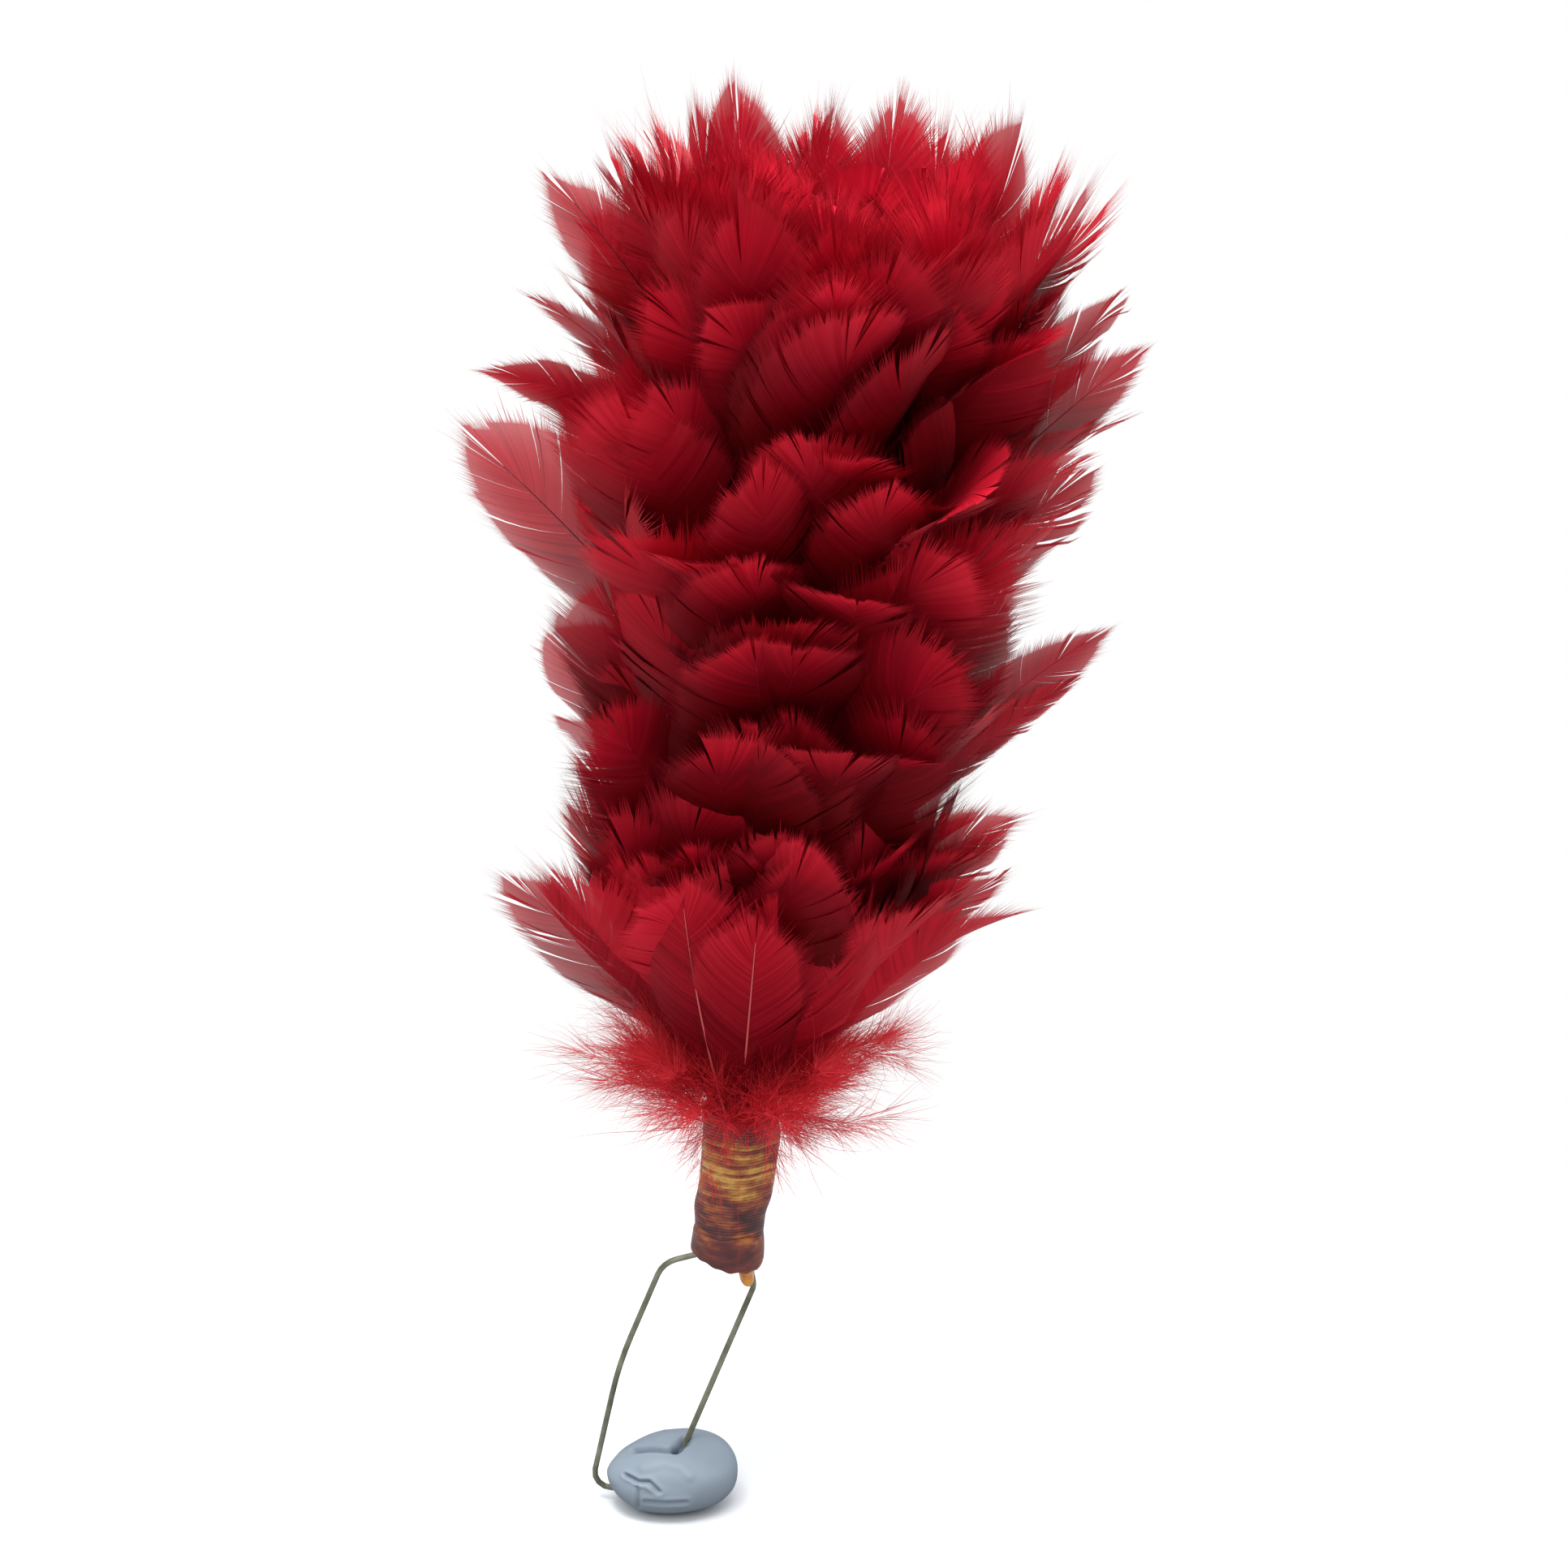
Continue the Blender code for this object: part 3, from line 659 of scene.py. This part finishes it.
def usual_shafts(rng, bunch):
    """The shafts of a bunch's usual feathers, row by row, each with its azimuth."""
    tier = bunch.tier
    in_rim = bunch.tier_name == "crown_outer"
    stray = 0.05 if in_rim else 0.12
    rises = (0.95, 1.03) if in_rim else (0.90, 1.08)
    side_twist = CROWN_SIDE_TWIST if bunch.in_crown() else SIDE_TWIST
    for row in bunch.rows():
        for k in range(row.count):
            place = ROW_WIDTH * ((k + 0.5) / row.count * 2 - 1)
            azimuth = bunch.azimuth + bunch.half_sector * place + rng.normal(0, stray)
            sideways = math.cos(azimuth)
            backwards = math.sin(azimuth)
            pulled = 1 - tier.front_pull * max(-backwards, 0.0)
            raised = 1 + CROWN_BACK_RAISE * (1 + backwards) if in_rim else 1
            spread = (tier.reach * MM - QUILL_RADIUS) * row.wide * pulled
            bow = tier.bow + row.closing - tier.side_flare * abs(sideways)
            shaft = Shaft(
                azimuth,
                bunch.base,
                QUILL_RADIUS + spread * rng.uniform(0.90, 1.04),
                bunch.rise * row.tall * raised * rng.uniform(*rises),
                math.radians(bow + rng.normal(0, 7)),
                curl=math.radians(rng.normal(-4, 14)),
                sway=math.radians(rng.normal(0, 20)),
                twist=SHINGLE_TWIST - side_twist * sideways + math.radians(rng.normal(0, 20)),
            )
            yield shaft, azimuth


def hero_shaft(hero, bunch):
    lean = math.radians(hero.lean)
    return Shaft(
        math.radians(hero.azimuth),
        bunch.base,
        (hero.reach - hero.tip * math.sin(lean)) * MM,
        (hero.height - hero.tip * math.cos(lean)) * MM - bunch.base,
        math.radians(hero.bow),
        twist=math.radians(hero.twist),
    )


def make_bunch(rng, stem, bunch, materials):
    """The feathers of one CAD bunch, as one piece. The lowest ones have the down at their foot."""
    shape = Shape()
    lowest = bunch.tier_name == "tier_1"
    quill = LOWEST_QUILL_LENGTH if lowest else QUILL_LENGTH
    for shaft, azimuth in usual_shafts(rng, bunch):
        feather(rng, shape, shaft, usual_look(rng, bunch, azimuth), quill)
    for hero in HEROES:
        if hero.bunch == bunch.node:
            look = feather_look(rng, **{"shade": HERO_SHADE, **hero.look})
            feather(rng, shape, hero_shaft(hero, bunch), look, quill)
    if lowest:
        foot_down(rng, shape, bunch)
    name = bunch.node.replace("_feathers_", "_plumes_")
    make_piece(shape, name, materials, "plume", bunch.node, stem)


# ---------------------------------------------------------------- down


def hairs(rng, shape, starts, directions, lengths, width, tone, clear, curl):
    """Soft curly hairs as thin tapered ribbons."""
    count = len(starts)
    t = np.linspace(0, 1, HAIR_STEPS + 1)
    amount = rng.normal(0, 1, (count, 1, 3))
    rate = rng.uniform(2, 7, (count, 1, 3))
    wobble = amount * np.sin(t[None, :, None] * rate + rng.uniform(0, 6.28, (count, 1, 3)))
    heading = directions[:, None, :] + curl * wobble * (0.3 + t[None, :, None])
    heading /= np.linalg.norm(heading, axis=-1, keepdims=True)
    path = starts[:, None, :] + np.cumsum(heading, axis=1) * (lengths / HAIR_STEPS)[:, None, None]
    flat = np.cross(heading, rng.normal(0, 1, (count, 1, 3)))
    flat /= np.linalg.norm(flat, axis=-1, keepdims=True)
    half = width / 2 * (1 - 0.85 * t)[None, :, None]
    points = np.stack([path - flat * half, path + flat * half], axis=2)
    quads = grid_faces(HAIR_STEPS + 1, 2)
    faces = (quads[None] + (np.arange(count) * 2 * (HAIR_STEPS + 1))[:, None, None]).reshape(-1, 4)
    marks = np.ones((count, HAIR_STEPS + 1, 2, 4))
    marks[..., 0] = t[None, :, None]
    marks[..., 2] = tone[:, None, None]
    marks[..., 3] = clear[:, None, None]
    shape.add(points.reshape(-1, 3), marks.reshape(-1, 4), [faces], slot=2)


def down_tuft(rng, shape, bunch, kind):
    """A soft down feather: a limp shaft with hairs that stream outwards from it."""
    azimuth = bunch.random_azimuth(rng)
    start = rng.uniform(*kind.start) * MM
    length = rng.uniform(*kind.length) * MM
    lean = math.radians(rng.uniform(*kind.lean))
    if math.sin(azimuth) < -0.4:
        lean = min(lean, DOWN_FRONT_LEAN)
    t = rng.random(kind.hairs) ** 0.7
    angle = lean + math.radians(rng.uniform(-20, 35)) * t
    turned = azimuth + rng.normal(0, 0.5) * t
    outward = np.stack([np.cos(turned), np.sin(turned), np.zeros(kind.hairs)], axis=-1)
    half_way = (lean + angle) / 2
    starts = outward * (DOWN_RADIUS + 0.55 * max(start, 0.0) + length * t * np.sin(half_way))[:, None]
    starts[:, 2] = bunch.base + start + length * t * np.cos(half_way)
    along = np.sin(angle)[:, None] * outward + np.cos(angle)[:, None] * np.array([0.0, 0.0, 1.0])
    directions = along + rng.normal(0, 0.38, (kind.hairs, 3))
    directions /= np.linalg.norm(directions, axis=-1, keepdims=True)
    lengths = DOWN_LENGTH * rng.uniform(0.4, 1.1, kind.hairs)
    tone = np.clip(0.45 + 0.45 * t + rng.normal(0, 0.12, kind.hairs), 0, 1)
    hairs(rng, shape, starts, directions, lengths, DOWN_WIDTH, tone, kind.clear + 0.4 * t, 0.22)


def stray_hair(rng, shape, bunch):
    """One longer, coarser hair that leaves the foot of the plume on its own."""
    outward = spoke(bunch.random_azimuth(rng))
    lean = math.radians(rng.uniform(50, 150))
    start = outward * DOWN_RADIUS + np.array([0.0, 0.0, bunch.base])
    heading = outward * math.sin(lean) + np.array([0.0, 0.0, math.cos(lean)])
    length = np.array([rng.uniform(*STRAY_LENGTH) * MM])
    hairs(rng, shape, start[None], heading[None], length, STRAY_WIDTH, np.array([0.6]), np.array([0.2]), 0.3)


def foot_down(rng, shape, bunch):
    """The down at the foot of a bottom bunch, with a few longer strays."""
    for kind in DOWN_KINDS:
        for _ in range(kind.tufts):
            down_tuft(rng, shape, bunch, kind)
    for _ in range(STRAYS):
        stray_hair(rng, shape, bunch)


# ---------------------------------------------------------------- bound stem


def wavy(rng, angle, other, waves, size):
    """A smooth random surface over a grid of angles and a second grid. It closes on itself."""
    out = np.zeros_like(angle)
    for _ in range(waves):
        turns = rng.integers(0, 5)
        amount = rng.normal(0, 1)
        drift = rng.uniform(-1, 1) * size
        out += amount * np.sin(turns * angle + drift * other + rng.uniform(0, 6.28))
    return out / math.sqrt(waves)


def stem_grid(low, high, rows, columns):
    """Grids of angles round the stem and of heights along it."""
    return np.meshgrid(np.linspace(0, FULL_TURN, columns, endpoint=False), np.linspace(low, high, rows))


def sleeve(shape, radius, height, angle, tones, bore=None):
    """A closed sleeve from grids of radii and heights: a tube with a bore, or else capped.

    A cap runs in level from the rim to a small middle, CAP_SHARE as wide.
    """
    rows, columns = radius.shape
    outside = np.stack([radius * np.cos(angle), radius * np.sin(angle), height], axis=-1)
    rims = outside[[0, -1]]
    rims[..., :2] *= CAP_SHARE if bore is None else bore / radius[[0, -1]][..., None]
    marks = np.zeros((rows + 2, columns, 4))
    marks[:rows, :, 2] = tones
    marks[rows:, :, 2] = 0.1
    ring = np.arange(columns)
    top = ring + (rows - 1) * columns
    low_rim = top + columns
    high_rim = low_rim + columns
    faces = [grid_faces(rows, columns, closed=True), ring_faces(low_rim, ring), ring_faces(top, high_rim)]
    if bore is not None:
        faces.append(ring_faces(high_rim, low_rim))
    else:
        second = np.arange(1, columns - 1)
        cap = np.stack([np.zeros_like(second), second, second + 1], axis=-1)
        faces += [low_rim[cap[:, ::-1]], high_rim[cap]]
    points = np.vstack([outside.reshape(-1, 3), rims.reshape(-1, 3)])
    shape.add(points, marks.reshape(-1, 4), faces)


def wrap_radius(angle, height, share, lumps, ridge):
    """The binding's outside: wider at the top, with a knob on the left and a welt on the right."""
    knob = hump(height, WRAP_KNOB_AT, 2 * MM) * np.clip(np.cos(angle - math.pi), 0, 1) ** 3
    along = smooth(share, 0.15, 0.35) * (1 - smooth(share, 0.8, 0.95))
    welt = np.exp(-((np.cos(angle) - 1) ** 2) / 0.02) * along
    radius = WRAP_RADIUS + WRAP_SWELL * share**1.5 + WRAP_LUMP * lumps + THREAD_RIDGE * ridge
    return radius + WRAP_KNOB * knob + WRAP_WELT * welt


def make_wrap(rng, stem):
    """The varnished thread binding: every turn is a ridge, wound unevenly over lumps."""
    rows = int((WRAP_TO - WRAP_FROM) / THREAD_PITCH * ROWS_PER_THREAD)
    angle, height = stem_grid(WRAP_FROM, WRAP_TO, rows, WRAP_COLUMNS)
    share = (height - WRAP_FROM) / (WRAP_TO - WRAP_FROM)
    lumps = wavy(rng, angle, height / MM, 14, 0.35)
    tilt = THREAD_TILT * np.cos(angle - math.radians(150))
    wander = THREAD_WANDER * wavy(rng, angle, height / MM, 8, 0.5)
    turns = (height + tilt + wander) / THREAD_PITCH + angle / FULL_TURN
    ridge = np.sqrt(np.abs(np.sin(math.pi * turns)))
    thread = rng.normal(0, 1, int(turns.max()) + 8)[np.floor(turns).astype(int) + 3]
    patches = wavy(rng, angle, height / MM, 16, 1.1)
    # Lighter midway up, varying by thread and in patches; each turn is lighter on its crest and darker in
    # the grooves between turns, a painted shade.
    tones = 0.30 + 0.36 * hump(share, 0.52, 0.26) + 0.12 * thread + 0.16 * patches + 0.14 * (ridge - 0.7)
    # Painted shade: the right side is darker.
    tones -= 0.22 * np.clip(np.cos(angle - math.radians(10)), 0, 1) ** 4
    shape = Shape()
    radius = wrap_radius(angle, height, share, lumps, ridge)
    sleeve(shape, radius, height, angle, np.clip(tones, 0, 1), bore=WRAP_BORE)
    varnish = marked_material(
        "varnished_thread", WRAP_COLOURS, 0.45, VARNISH_DARK, coat=0.15, grain=1500.0, fleck=0.9)
    make_piece(shape, "bound_wrap", [varnish], "plume", "stem_wrap", stem)


def make_band(rng, stem):
    """The stiffer band at the foot of the stem, with a ragged lower edge."""
    angle, share = stem_grid(0, 1, *BAND_GRID)
    bottom = BAND_RAGGED * wavy(rng, angle * 3, share, 10, 0.0) - BAND_SLANT * np.cos(angle) - 0.2 * MM
    top = BAND_TOP + 0.25 * MM * wavy(rng, angle, share, 8, 0.0)
    height = bottom + share * (top - bottom)
    creases = wavy(rng, angle, height / MM, 22, 1.3)
    radius = BAND_RADIUS + BAND_CREASE * creases - BAND_ROUNDING * (2 * np.abs(share - 0.5)) ** 6
    # Lighter where the creases swell and darker where they sink in, a painted shade in the creases, and
    # lighter towards the top.
    tones = np.clip(0.45 + 0.22 * creases + 0.15 * share, 0, 1)
    shape = Shape()
    sleeve(shape, radius, height, angle, tones)
    varnish = marked_material(
        "varnished_band", BAND_COLOURS, 0.55, VARNISH_DARK, coat=0.08, grain=1100.0, fleck=1.1)
    make_piece(shape, "ragged_band", [varnish], "plume", "end_band", stem)


def make_glue(stem):
    """The bead of amber glue that ran down beside the wire."""
    ball = ball_grid(*BEAD_GRID)
    x, y, z = ball[..., 0], ball[..., 1], ball[..., 2]
    lumpy = 1 + 0.12 * np.sin(3 * x + 1) + 0.10 * np.sin(4 * z + 2 * y)
    points = ball * BEAD_SIZE * lumpy[..., None] + BEAD_CENTRE
    points[..., 0] *= 1 - 0.12 * z
    shape = Shape()
    marks = np.array([0.0, 0.0, 0.6, 0.0])
    shape.add(points.reshape(-1, 3), marks, [grid_faces(*BEAD_GRID, closed=True)])
    make_piece(shape, "amber_bead", [glue_material()], "plume", "glue_bead", stem)


# ---------------------------------------------------------------- putty


def near_path(u, v, path):
    """Distance from points (u, v) to a bent line."""
    best = np.full(u.shape, 1.0)
    for (u0, v0), (u1, v1) in zip(path[:-1], path[1:]):
        du = u1 - u0
        dv = v1 - v0
        t = np.clip(((u - u0) * du + (v - v0) * dv) / (du * du + dv * dv), 0, 1)
        best = np.minimum(best, np.hypot(u - u0 - t * du, v - v0 - t * dv))
    return best


def seen_from_front(points):
    """Where points appear to the camera, as mm right of and above the frame's origin."""
    up = np.array([0.0, math.sin(VIEW_ELEVATION), math.cos(VIEW_ELEVATION)])
    ahead = np.array([0.0, math.cos(VIEW_ELEVATION), -math.sin(VIEW_ELEVATION)])
    eye = np.array(camera_place())
    seen = []
    for apart in (points - eye, -eye):
        shrink = VIEW_DISTANCE / (apart @ ahead)
        seen.append((apart[..., 0] * shrink / MM, apart @ up * shrink / MM))
    return seen[0][0] - seen[1][0], seen[0][1] - seen[1][1]


def pressed(points, facing):
    """How far in or out each point of the putty is pushed by creases and folds, in mm."""
    u, v = seen_from_front(points)
    push = np.zeros_like(u)
    for path, depth, width in PUTTY_CREASES:
        away = near_path(u, v, path)
        push -= depth * hump(away, 0, width) * facing
        push += 0.28 * depth * hump(away, 2.2 * width, 1.3 * width) * facing
    for path, rise, width in PUTTY_FOLDS:
        push += rise * hump(near_path(u, v, path), 0, width) * facing
    return push


def dented(rng, ball):
    """Shallow random dents and swells over a ball of directions."""
    dents = np.zeros(ball.shape[:2])
    for _ in range(PUTTY_DENTS):
        way = rng.normal(0, 1, 3)
        way /= np.linalg.norm(way)
        dents += rng.normal(0, 1) * smooth(ball @ way, 0.72, 1.0)
    return dents


def make_putty(rng):
    """The hand-pressed putty: two lobes, a pit where the wire goes in, creases and a fold."""
    ball = ball_grid(*PUTTY_GRID)
    x, y, z = ball[..., 0], ball[..., 1], ball[..., 2]
    low, high = (np.array(corner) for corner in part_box("putty_foot"))
    centre = (low + high) / 2
    half = (high - low) / 2
    boxy = (np.abs(x) ** 2.3 + np.abs(y) ** 2.3 + np.abs(z) ** 2.2) ** (-1 / PUTTY_BOXINESS)
    points = ball * boxy[..., None] * half + centre
    right = (points[..., 0] - centre[0]) / half[0]
    points[..., 2] += PUTTY_RIGHT_RISE * right * np.clip(z + 0.3, 0, 1)
    points[..., 2] -= PUTTY_LEFT_DROP * np.clip(-0.15 - right, 0, 1) * np.clip(z, 0, 1)
    facing = smooth(-y + 0.4 * z, -0.2, 0.35)
    push = pressed(points, facing) * MM + PUTTY_DENT_DEPTH * dented(rng, ball)
    points = points + ball * push[..., None]
    points[..., 2] = np.maximum(points[..., 2], low[2] + 0.02 * MM * (1 + z))
    marks = np.zeros((push.size, 4))
    # Tone follows the pushes: darker where the putty is pressed in, a painted shade in the creases and
    # dents, and lighter on the folds, a painted highlight.
    marks[:, 2] = np.clip(0.55 + 0.5 * (push / MM).ravel(), 0, 1)
    shape = Shape()
    shape.add(points.reshape(-1, 3), marks, [grid_faces(*PUTTY_GRID, closed=True)])
    clay = marked_material(
        "putty", PUTTY_COLOURS, 0.62, PUTTY_DARK, grain=350.0, grain_share=0.12, bump=0.25)
    make_piece(shape, "pressed_putty", [clay], "foot", "putty_foot")


# ---------------------------------------------------------------- materials


class Nodes:
    """A short way to write the nodes of a material or a world."""

    def __init__(self, owner):
        self.owner = owner
        owner.use_nodes = True
        self.tree = owner.node_tree
        self.tree.nodes.clear()

    def add(self, kind, **values):
        node = self.tree.nodes.new("ShaderNode" + kind)
        for key, value in values.items():
            setattr(node, key, value)
        return node

    def link(self, source, target):
        self.tree.links.new(source, target)

    def put(self, socket, value):
        """Feeds a socket from another one, or gives it a value."""
        if isinstance(value, bpy.types.NodeSocket):
            self.link(value, socket)
        elif socket.type == "RGBA" and len(value) == 3:
            socket.default_value = (*value, 1.0)
        else:
            socket.default_value = value

    def set(self, node, **inputs):
        for key, value in inputs.items():
            self.put(node.inputs[key.replace("_", " ")], value)
        return node

    def ramp(self, source, stops):
        node = self.add("ValToRGB")
        ramp = node.color_ramp
        while len(ramp.elements) < len(stops):
            ramp.elements.new(0.5)
        for element, (place, colour) in zip(ramp.elements, stops):
            element.position = place
            element.color = (*colour, 1.0)
        self.link(source, node.inputs["Fac"])
        return node.outputs["Color"]

    def maths(self, operation, a, b=0.0, c=0.0):
        node = self.add("Math", operation=operation)
        for socket, value in zip(node.inputs, (a, b, c)):
            self.put(socket, value)
        return node.outputs[0]

    def mix(self, factor, a, b, blend="MIX"):
        node = self.add("Mix", data_type="RGBA", blend_type=blend)
        for number, value in ((0, factor), (6, a), (7, b)):
            self.put(node.inputs[number], value)
        return node.outputs[2]

    def place(self):
        return self.add("TexCoord").outputs["Object"]

    def noise(self, scale, detail, vector):
        node = self.add("TexNoise")
        self.set(node, Scale=scale, Detail=detail, Vector=vector)
        return node.outputs["Fac"]

    def marks(self):
        """The four marks of a Shape's points."""
        marks = self.add("Attribute", attribute_name="marks")
        parts = self.add("SeparateColor")
        self.link(marks.outputs["Color"], parts.inputs[0])
        return (*parts.outputs, marks.outputs["Alpha"])

    def blend(self, factor, first, second):
        """A mix of two shaders."""
        both = self.add("MixShader")
        for socket, value in zip(both.inputs, (factor, first.outputs[0], second.outputs[0])):
            self.put(socket, value)
        return both.outputs[0]

    def finish(self, shader, output="OutputMaterial"):
        self.link(shader, self.add(output).inputs["Surface"])
        return self.owner


def new_material(name):
    return Nodes(bpy.data.materials.new(name))


def feather_material():
    """Dyed vane, with painted shade that makes it redder and darker towards its foot and a painted highlight
    at its rim; paler and partly clear at its edges.
    """
    n = new_material("dyed_feather")
    across, light, tone, clear = n.marks()
    patch = n.noise(180.0, 2.0, n.place())
    tint = n.mix(n.maths("MULTIPLY", patch, 0.45), n.ramp(tone, VANE_COLOURS), VANE_PATCH)
    edge = n.mix(n.maths("MULTIPLY", n.maths("POWER", across, 3.0), 0.15), tint, VANE_EDGE)
    # Painted light and shade: the light mark darkens the colour towards the foot and brightens the rim.
    colour = n.mix(1.0, edge, n.ramp(light, VANE_PAINTED_LIGHT_AND_SHADE), "MULTIPLY")
    main = n.set(n.add("BsdfPrincipled"), Base_Color=colour, Roughness=0.5, Specular_IOR_Level=0.06)
    n.set(main, Alpha=n.maths("SUBTRACT", 1.0, clear))
    return n.finish(n.blend(0.12, main, n.set(n.add("BsdfTranslucent"), Color=colour)))


def shaft_material():
    n = new_material("feather_shaft")
    tone = n.marks()[2]
    level = n.maths("MULTIPLY_ADD", n.noise(400.0, 2.0, n.place()), 0.2, tone)
    main = n.set(n.add("BsdfPrincipled"), Base_Color=n.ramp(level, SHAFT_COLOURS), Roughness=0.4)
    return n.finish(main.outputs[0])


def down_material():
    n = new_material("feather_down")
    _, _, tone, clear = n.marks()
    colour = n.ramp(tone, DOWN_COLOURS)
    main = n.set(n.add("BsdfPrincipled"), Base_Color=colour, Roughness=0.7, Specular_IOR_Level=0.05)
    n.set(main, Alpha=n.maths("SUBTRACT", 1.0, clear))
    return n.finish(n.blend(0.45, main, n.set(n.add("BsdfTranslucent"), Color=colour)))


def glue_material():
    n = new_material("amber_glue")
    colour = n.ramp(n.noise(700.0, 3.0, n.place()), GLUE_COLOURS)
    main = n.set(n.add("BsdfPrincipled"), Base_Color=colour, Roughness=0.18, Coat_Weight=0.6)
    n.set(main, Subsurface_Weight=0.3, Subsurface_Scale=0.001)
    return n.finish(main.outputs[0])


def marked_material(name, stops, roughness, dark, grain, grain_share=0.25, coat=0.0, fleck=0.0, bump=0.0):
    """Colour from the tone mark through a ramp, with flecks in it and a fine darker grain over it."""
    n = new_material(name)
    level = n.marks()[2]
    place = n.place()
    fine = n.noise(grain, 3.0, place)
    if fleck:
        stretched = n.set(n.add("Mapping"), Scale=(1.0, 1.0, 2.6), Vector=place)
        speck = n.noise(grain * 0.42, 3.0, stretched.outputs[0])
        level = n.maths("MULTIPLY_ADD", n.maths("SUBTRACT", speck, 0.5), fleck, level)
    colour = n.mix(n.maths("MULTIPLY", fine, grain_share), n.ramp(level, stops), dark)
    main = n.set(n.add("BsdfPrincipled"), Base_Color=colour, Coat_Weight=coat, Coat_Roughness=0.15)
    n.set(main, Roughness=n.maths("MULTIPLY_ADD", fine, 0.2, roughness - 0.1))
    if bump:
        rough = n.set(n.add("Bump"), Strength=bump, Distance=0.0002, Height=n.noise(grain, 4.0, place))
        n.set(main, Normal=rough.outputs[0])
    return n.finish(main.outputs[0])


def plain_material(name, stops, grain, roughness, metallic=0.0, stretch=(1.0, 1.0, 1.0)):
    """Colour from a noise, for the CAD nodes that are carried over."""
    n = new_material(name)
    stretched = n.set(n.add("Mapping"), Scale=stretch, Vector=n.place())
    fine = n.noise(grain, 4.0, stretched.outputs[0])
    main = n.set(n.add("BsdfPrincipled"), Base_Color=n.ramp(fine, stops), Metallic=metallic)
    n.set(main, Roughness=n.maths("MULTIPLY_ADD", fine, 0.25, roughness - 0.12))
    return n.finish(main.outputs[0])


def dress_cad_nodes():
    """Looks for the CAD nodes that stay as they are."""
    looks = {
        "wire_loop": plain_material("dull_wire", WIRE_COLOURS, 300.0, 0.45, metallic=0.45),
        "core_rod": plain_material("split_cane", CANE_COLOURS, 220.0, 0.6, stretch=(6.0, 6.0, 0.5)),
    }
    thread = plain_material("lashing_thread", THREAD_COLOURS, 500.0, 0.6, stretch=(1.0, 1.0, 6.0))
    for name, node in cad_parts.items():
        look = thread if name.endswith("_lashing") else looks.get(name)
        if look:
            node.data.materials.clear()
            node.data.materials.append(look)


# ---------------------------------------------------------------- stage


def studio_world():
    """White to the camera, and light that falls mostly from above."""
    n = Nodes(bpy.data.worlds.new("studio"))
    bpy.context.scene.world = n.owner
    direction = n.set(n.add("SeparateXYZ"), Vector=n.add("TexCoord").outputs["Generated"])
    strength = n.set(n.add("MapRange"), Value=direction.outputs["Z"], To_Min=SIDE_LIGHT, To_Max=SKY_LIGHT)
    lit = n.set(n.add("Background"), Color=SKY_COLOUR, Strength=strength.outputs[0])
    seen = n.set(n.add("Background"), Color=WHITE)
    camera_ray = n.add("LightPath").outputs["Is Camera Ray"]
    n.finish(n.blend(camera_ray, lit, seen), "OutputWorld")


def floor_material():
    """Pale paper near the foot, where the shadow falls, and plain white farther out."""
    n = new_material("white_floor")
    seen = n.add("LightPath").outputs["Is Camera Ray"]
    paper = n.set(n.add("BsdfDiffuse"), Color=n.mix(seen, FLOOR_UNSEEN, FLOOR_SEEN))
    glow = n.set(n.add("Emission"), Color=WHITE, Strength=1.0)
    apart = n.add("VectorMath", operation="LENGTH")
    n.link(n.add("NewGeometry").outputs["Position"], apart.inputs[0])
    fade = n.add("MapRange", interpolation_type="SMOOTHSTEP")
    n.set(fade, Value=apart.outputs["Value"], From_Min=FLOOR_FADE[0], From_Max=FLOOR_FADE[1])
    return n.finish(n.blend(fade.outputs[0], paper, glow))


def white_floor():
    floor = bpy.data.objects.new("floor", bpy.data.meshes.new("floor"))
    corners = [(x * FLOOR_SIZE, y * FLOOR_SIZE, 0) for x, y in ((-1, -1), (1, -1), (1, 1), (-1, 1))]
    floor.data.from_pydata(corners, [], [(0, 1, 2, 3)])
    floor.data.materials.append(floor_material())
    bpy.context.scene.collection.objects.link(floor)


def camera_place():
    back = Vector((0, -math.cos(VIEW_ELEVATION), math.sin(VIEW_ELEVATION)))
    return VIEW_TARGET + VIEW_DISTANCE * back


def stage():
    """Camera, world, floor and lamps."""
    camera = bpy.data.objects.new("camera", bpy.data.cameras.new("camera"))
    camera.data.lens = LENS
    camera.data.clip_start = 0.01
    camera.location = camera_place()
    camera.rotation_euler = (math.pi / 2 - VIEW_ELEVATION, 0, 0)
    bpy.context.scene.collection.objects.link(camera)
    bpy.context.scene.camera = camera
    bpy.context.scene.view_settings.view_transform = "Standard"
    studio_world()
    white_floor()
    for lamp in LAMPS:
        light = bpy.data.lights.new(lamp.name, "AREA")
        light.size = lamp.width
        light.energy = lamp.power
        holder = bpy.data.objects.new(lamp.name, light)
        holder.location = lamp.place
        holder.rotation_euler = (VIEW_TARGET - holder.location).to_track_quat("-Z", "Y").to_euler()
        bpy.context.scene.collection.objects.link(holder)


def main():
    rng = np.random.default_rng(SEED)
    stem = Stem()
    materials = [feather_material(), shaft_material(), down_material()]
    for k, node in enumerate(sorted(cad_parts)):
        if "_feathers_" in node:
            make_bunch(np.random.default_rng((SEED, k)), stem, Bunch(stem, node), materials)
    make_wrap(rng, stem)
    make_band(rng, stem)
    make_glue(stem)
    make_putty(rng)
    dress_cad_nodes()
    stage()
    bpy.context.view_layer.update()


main()
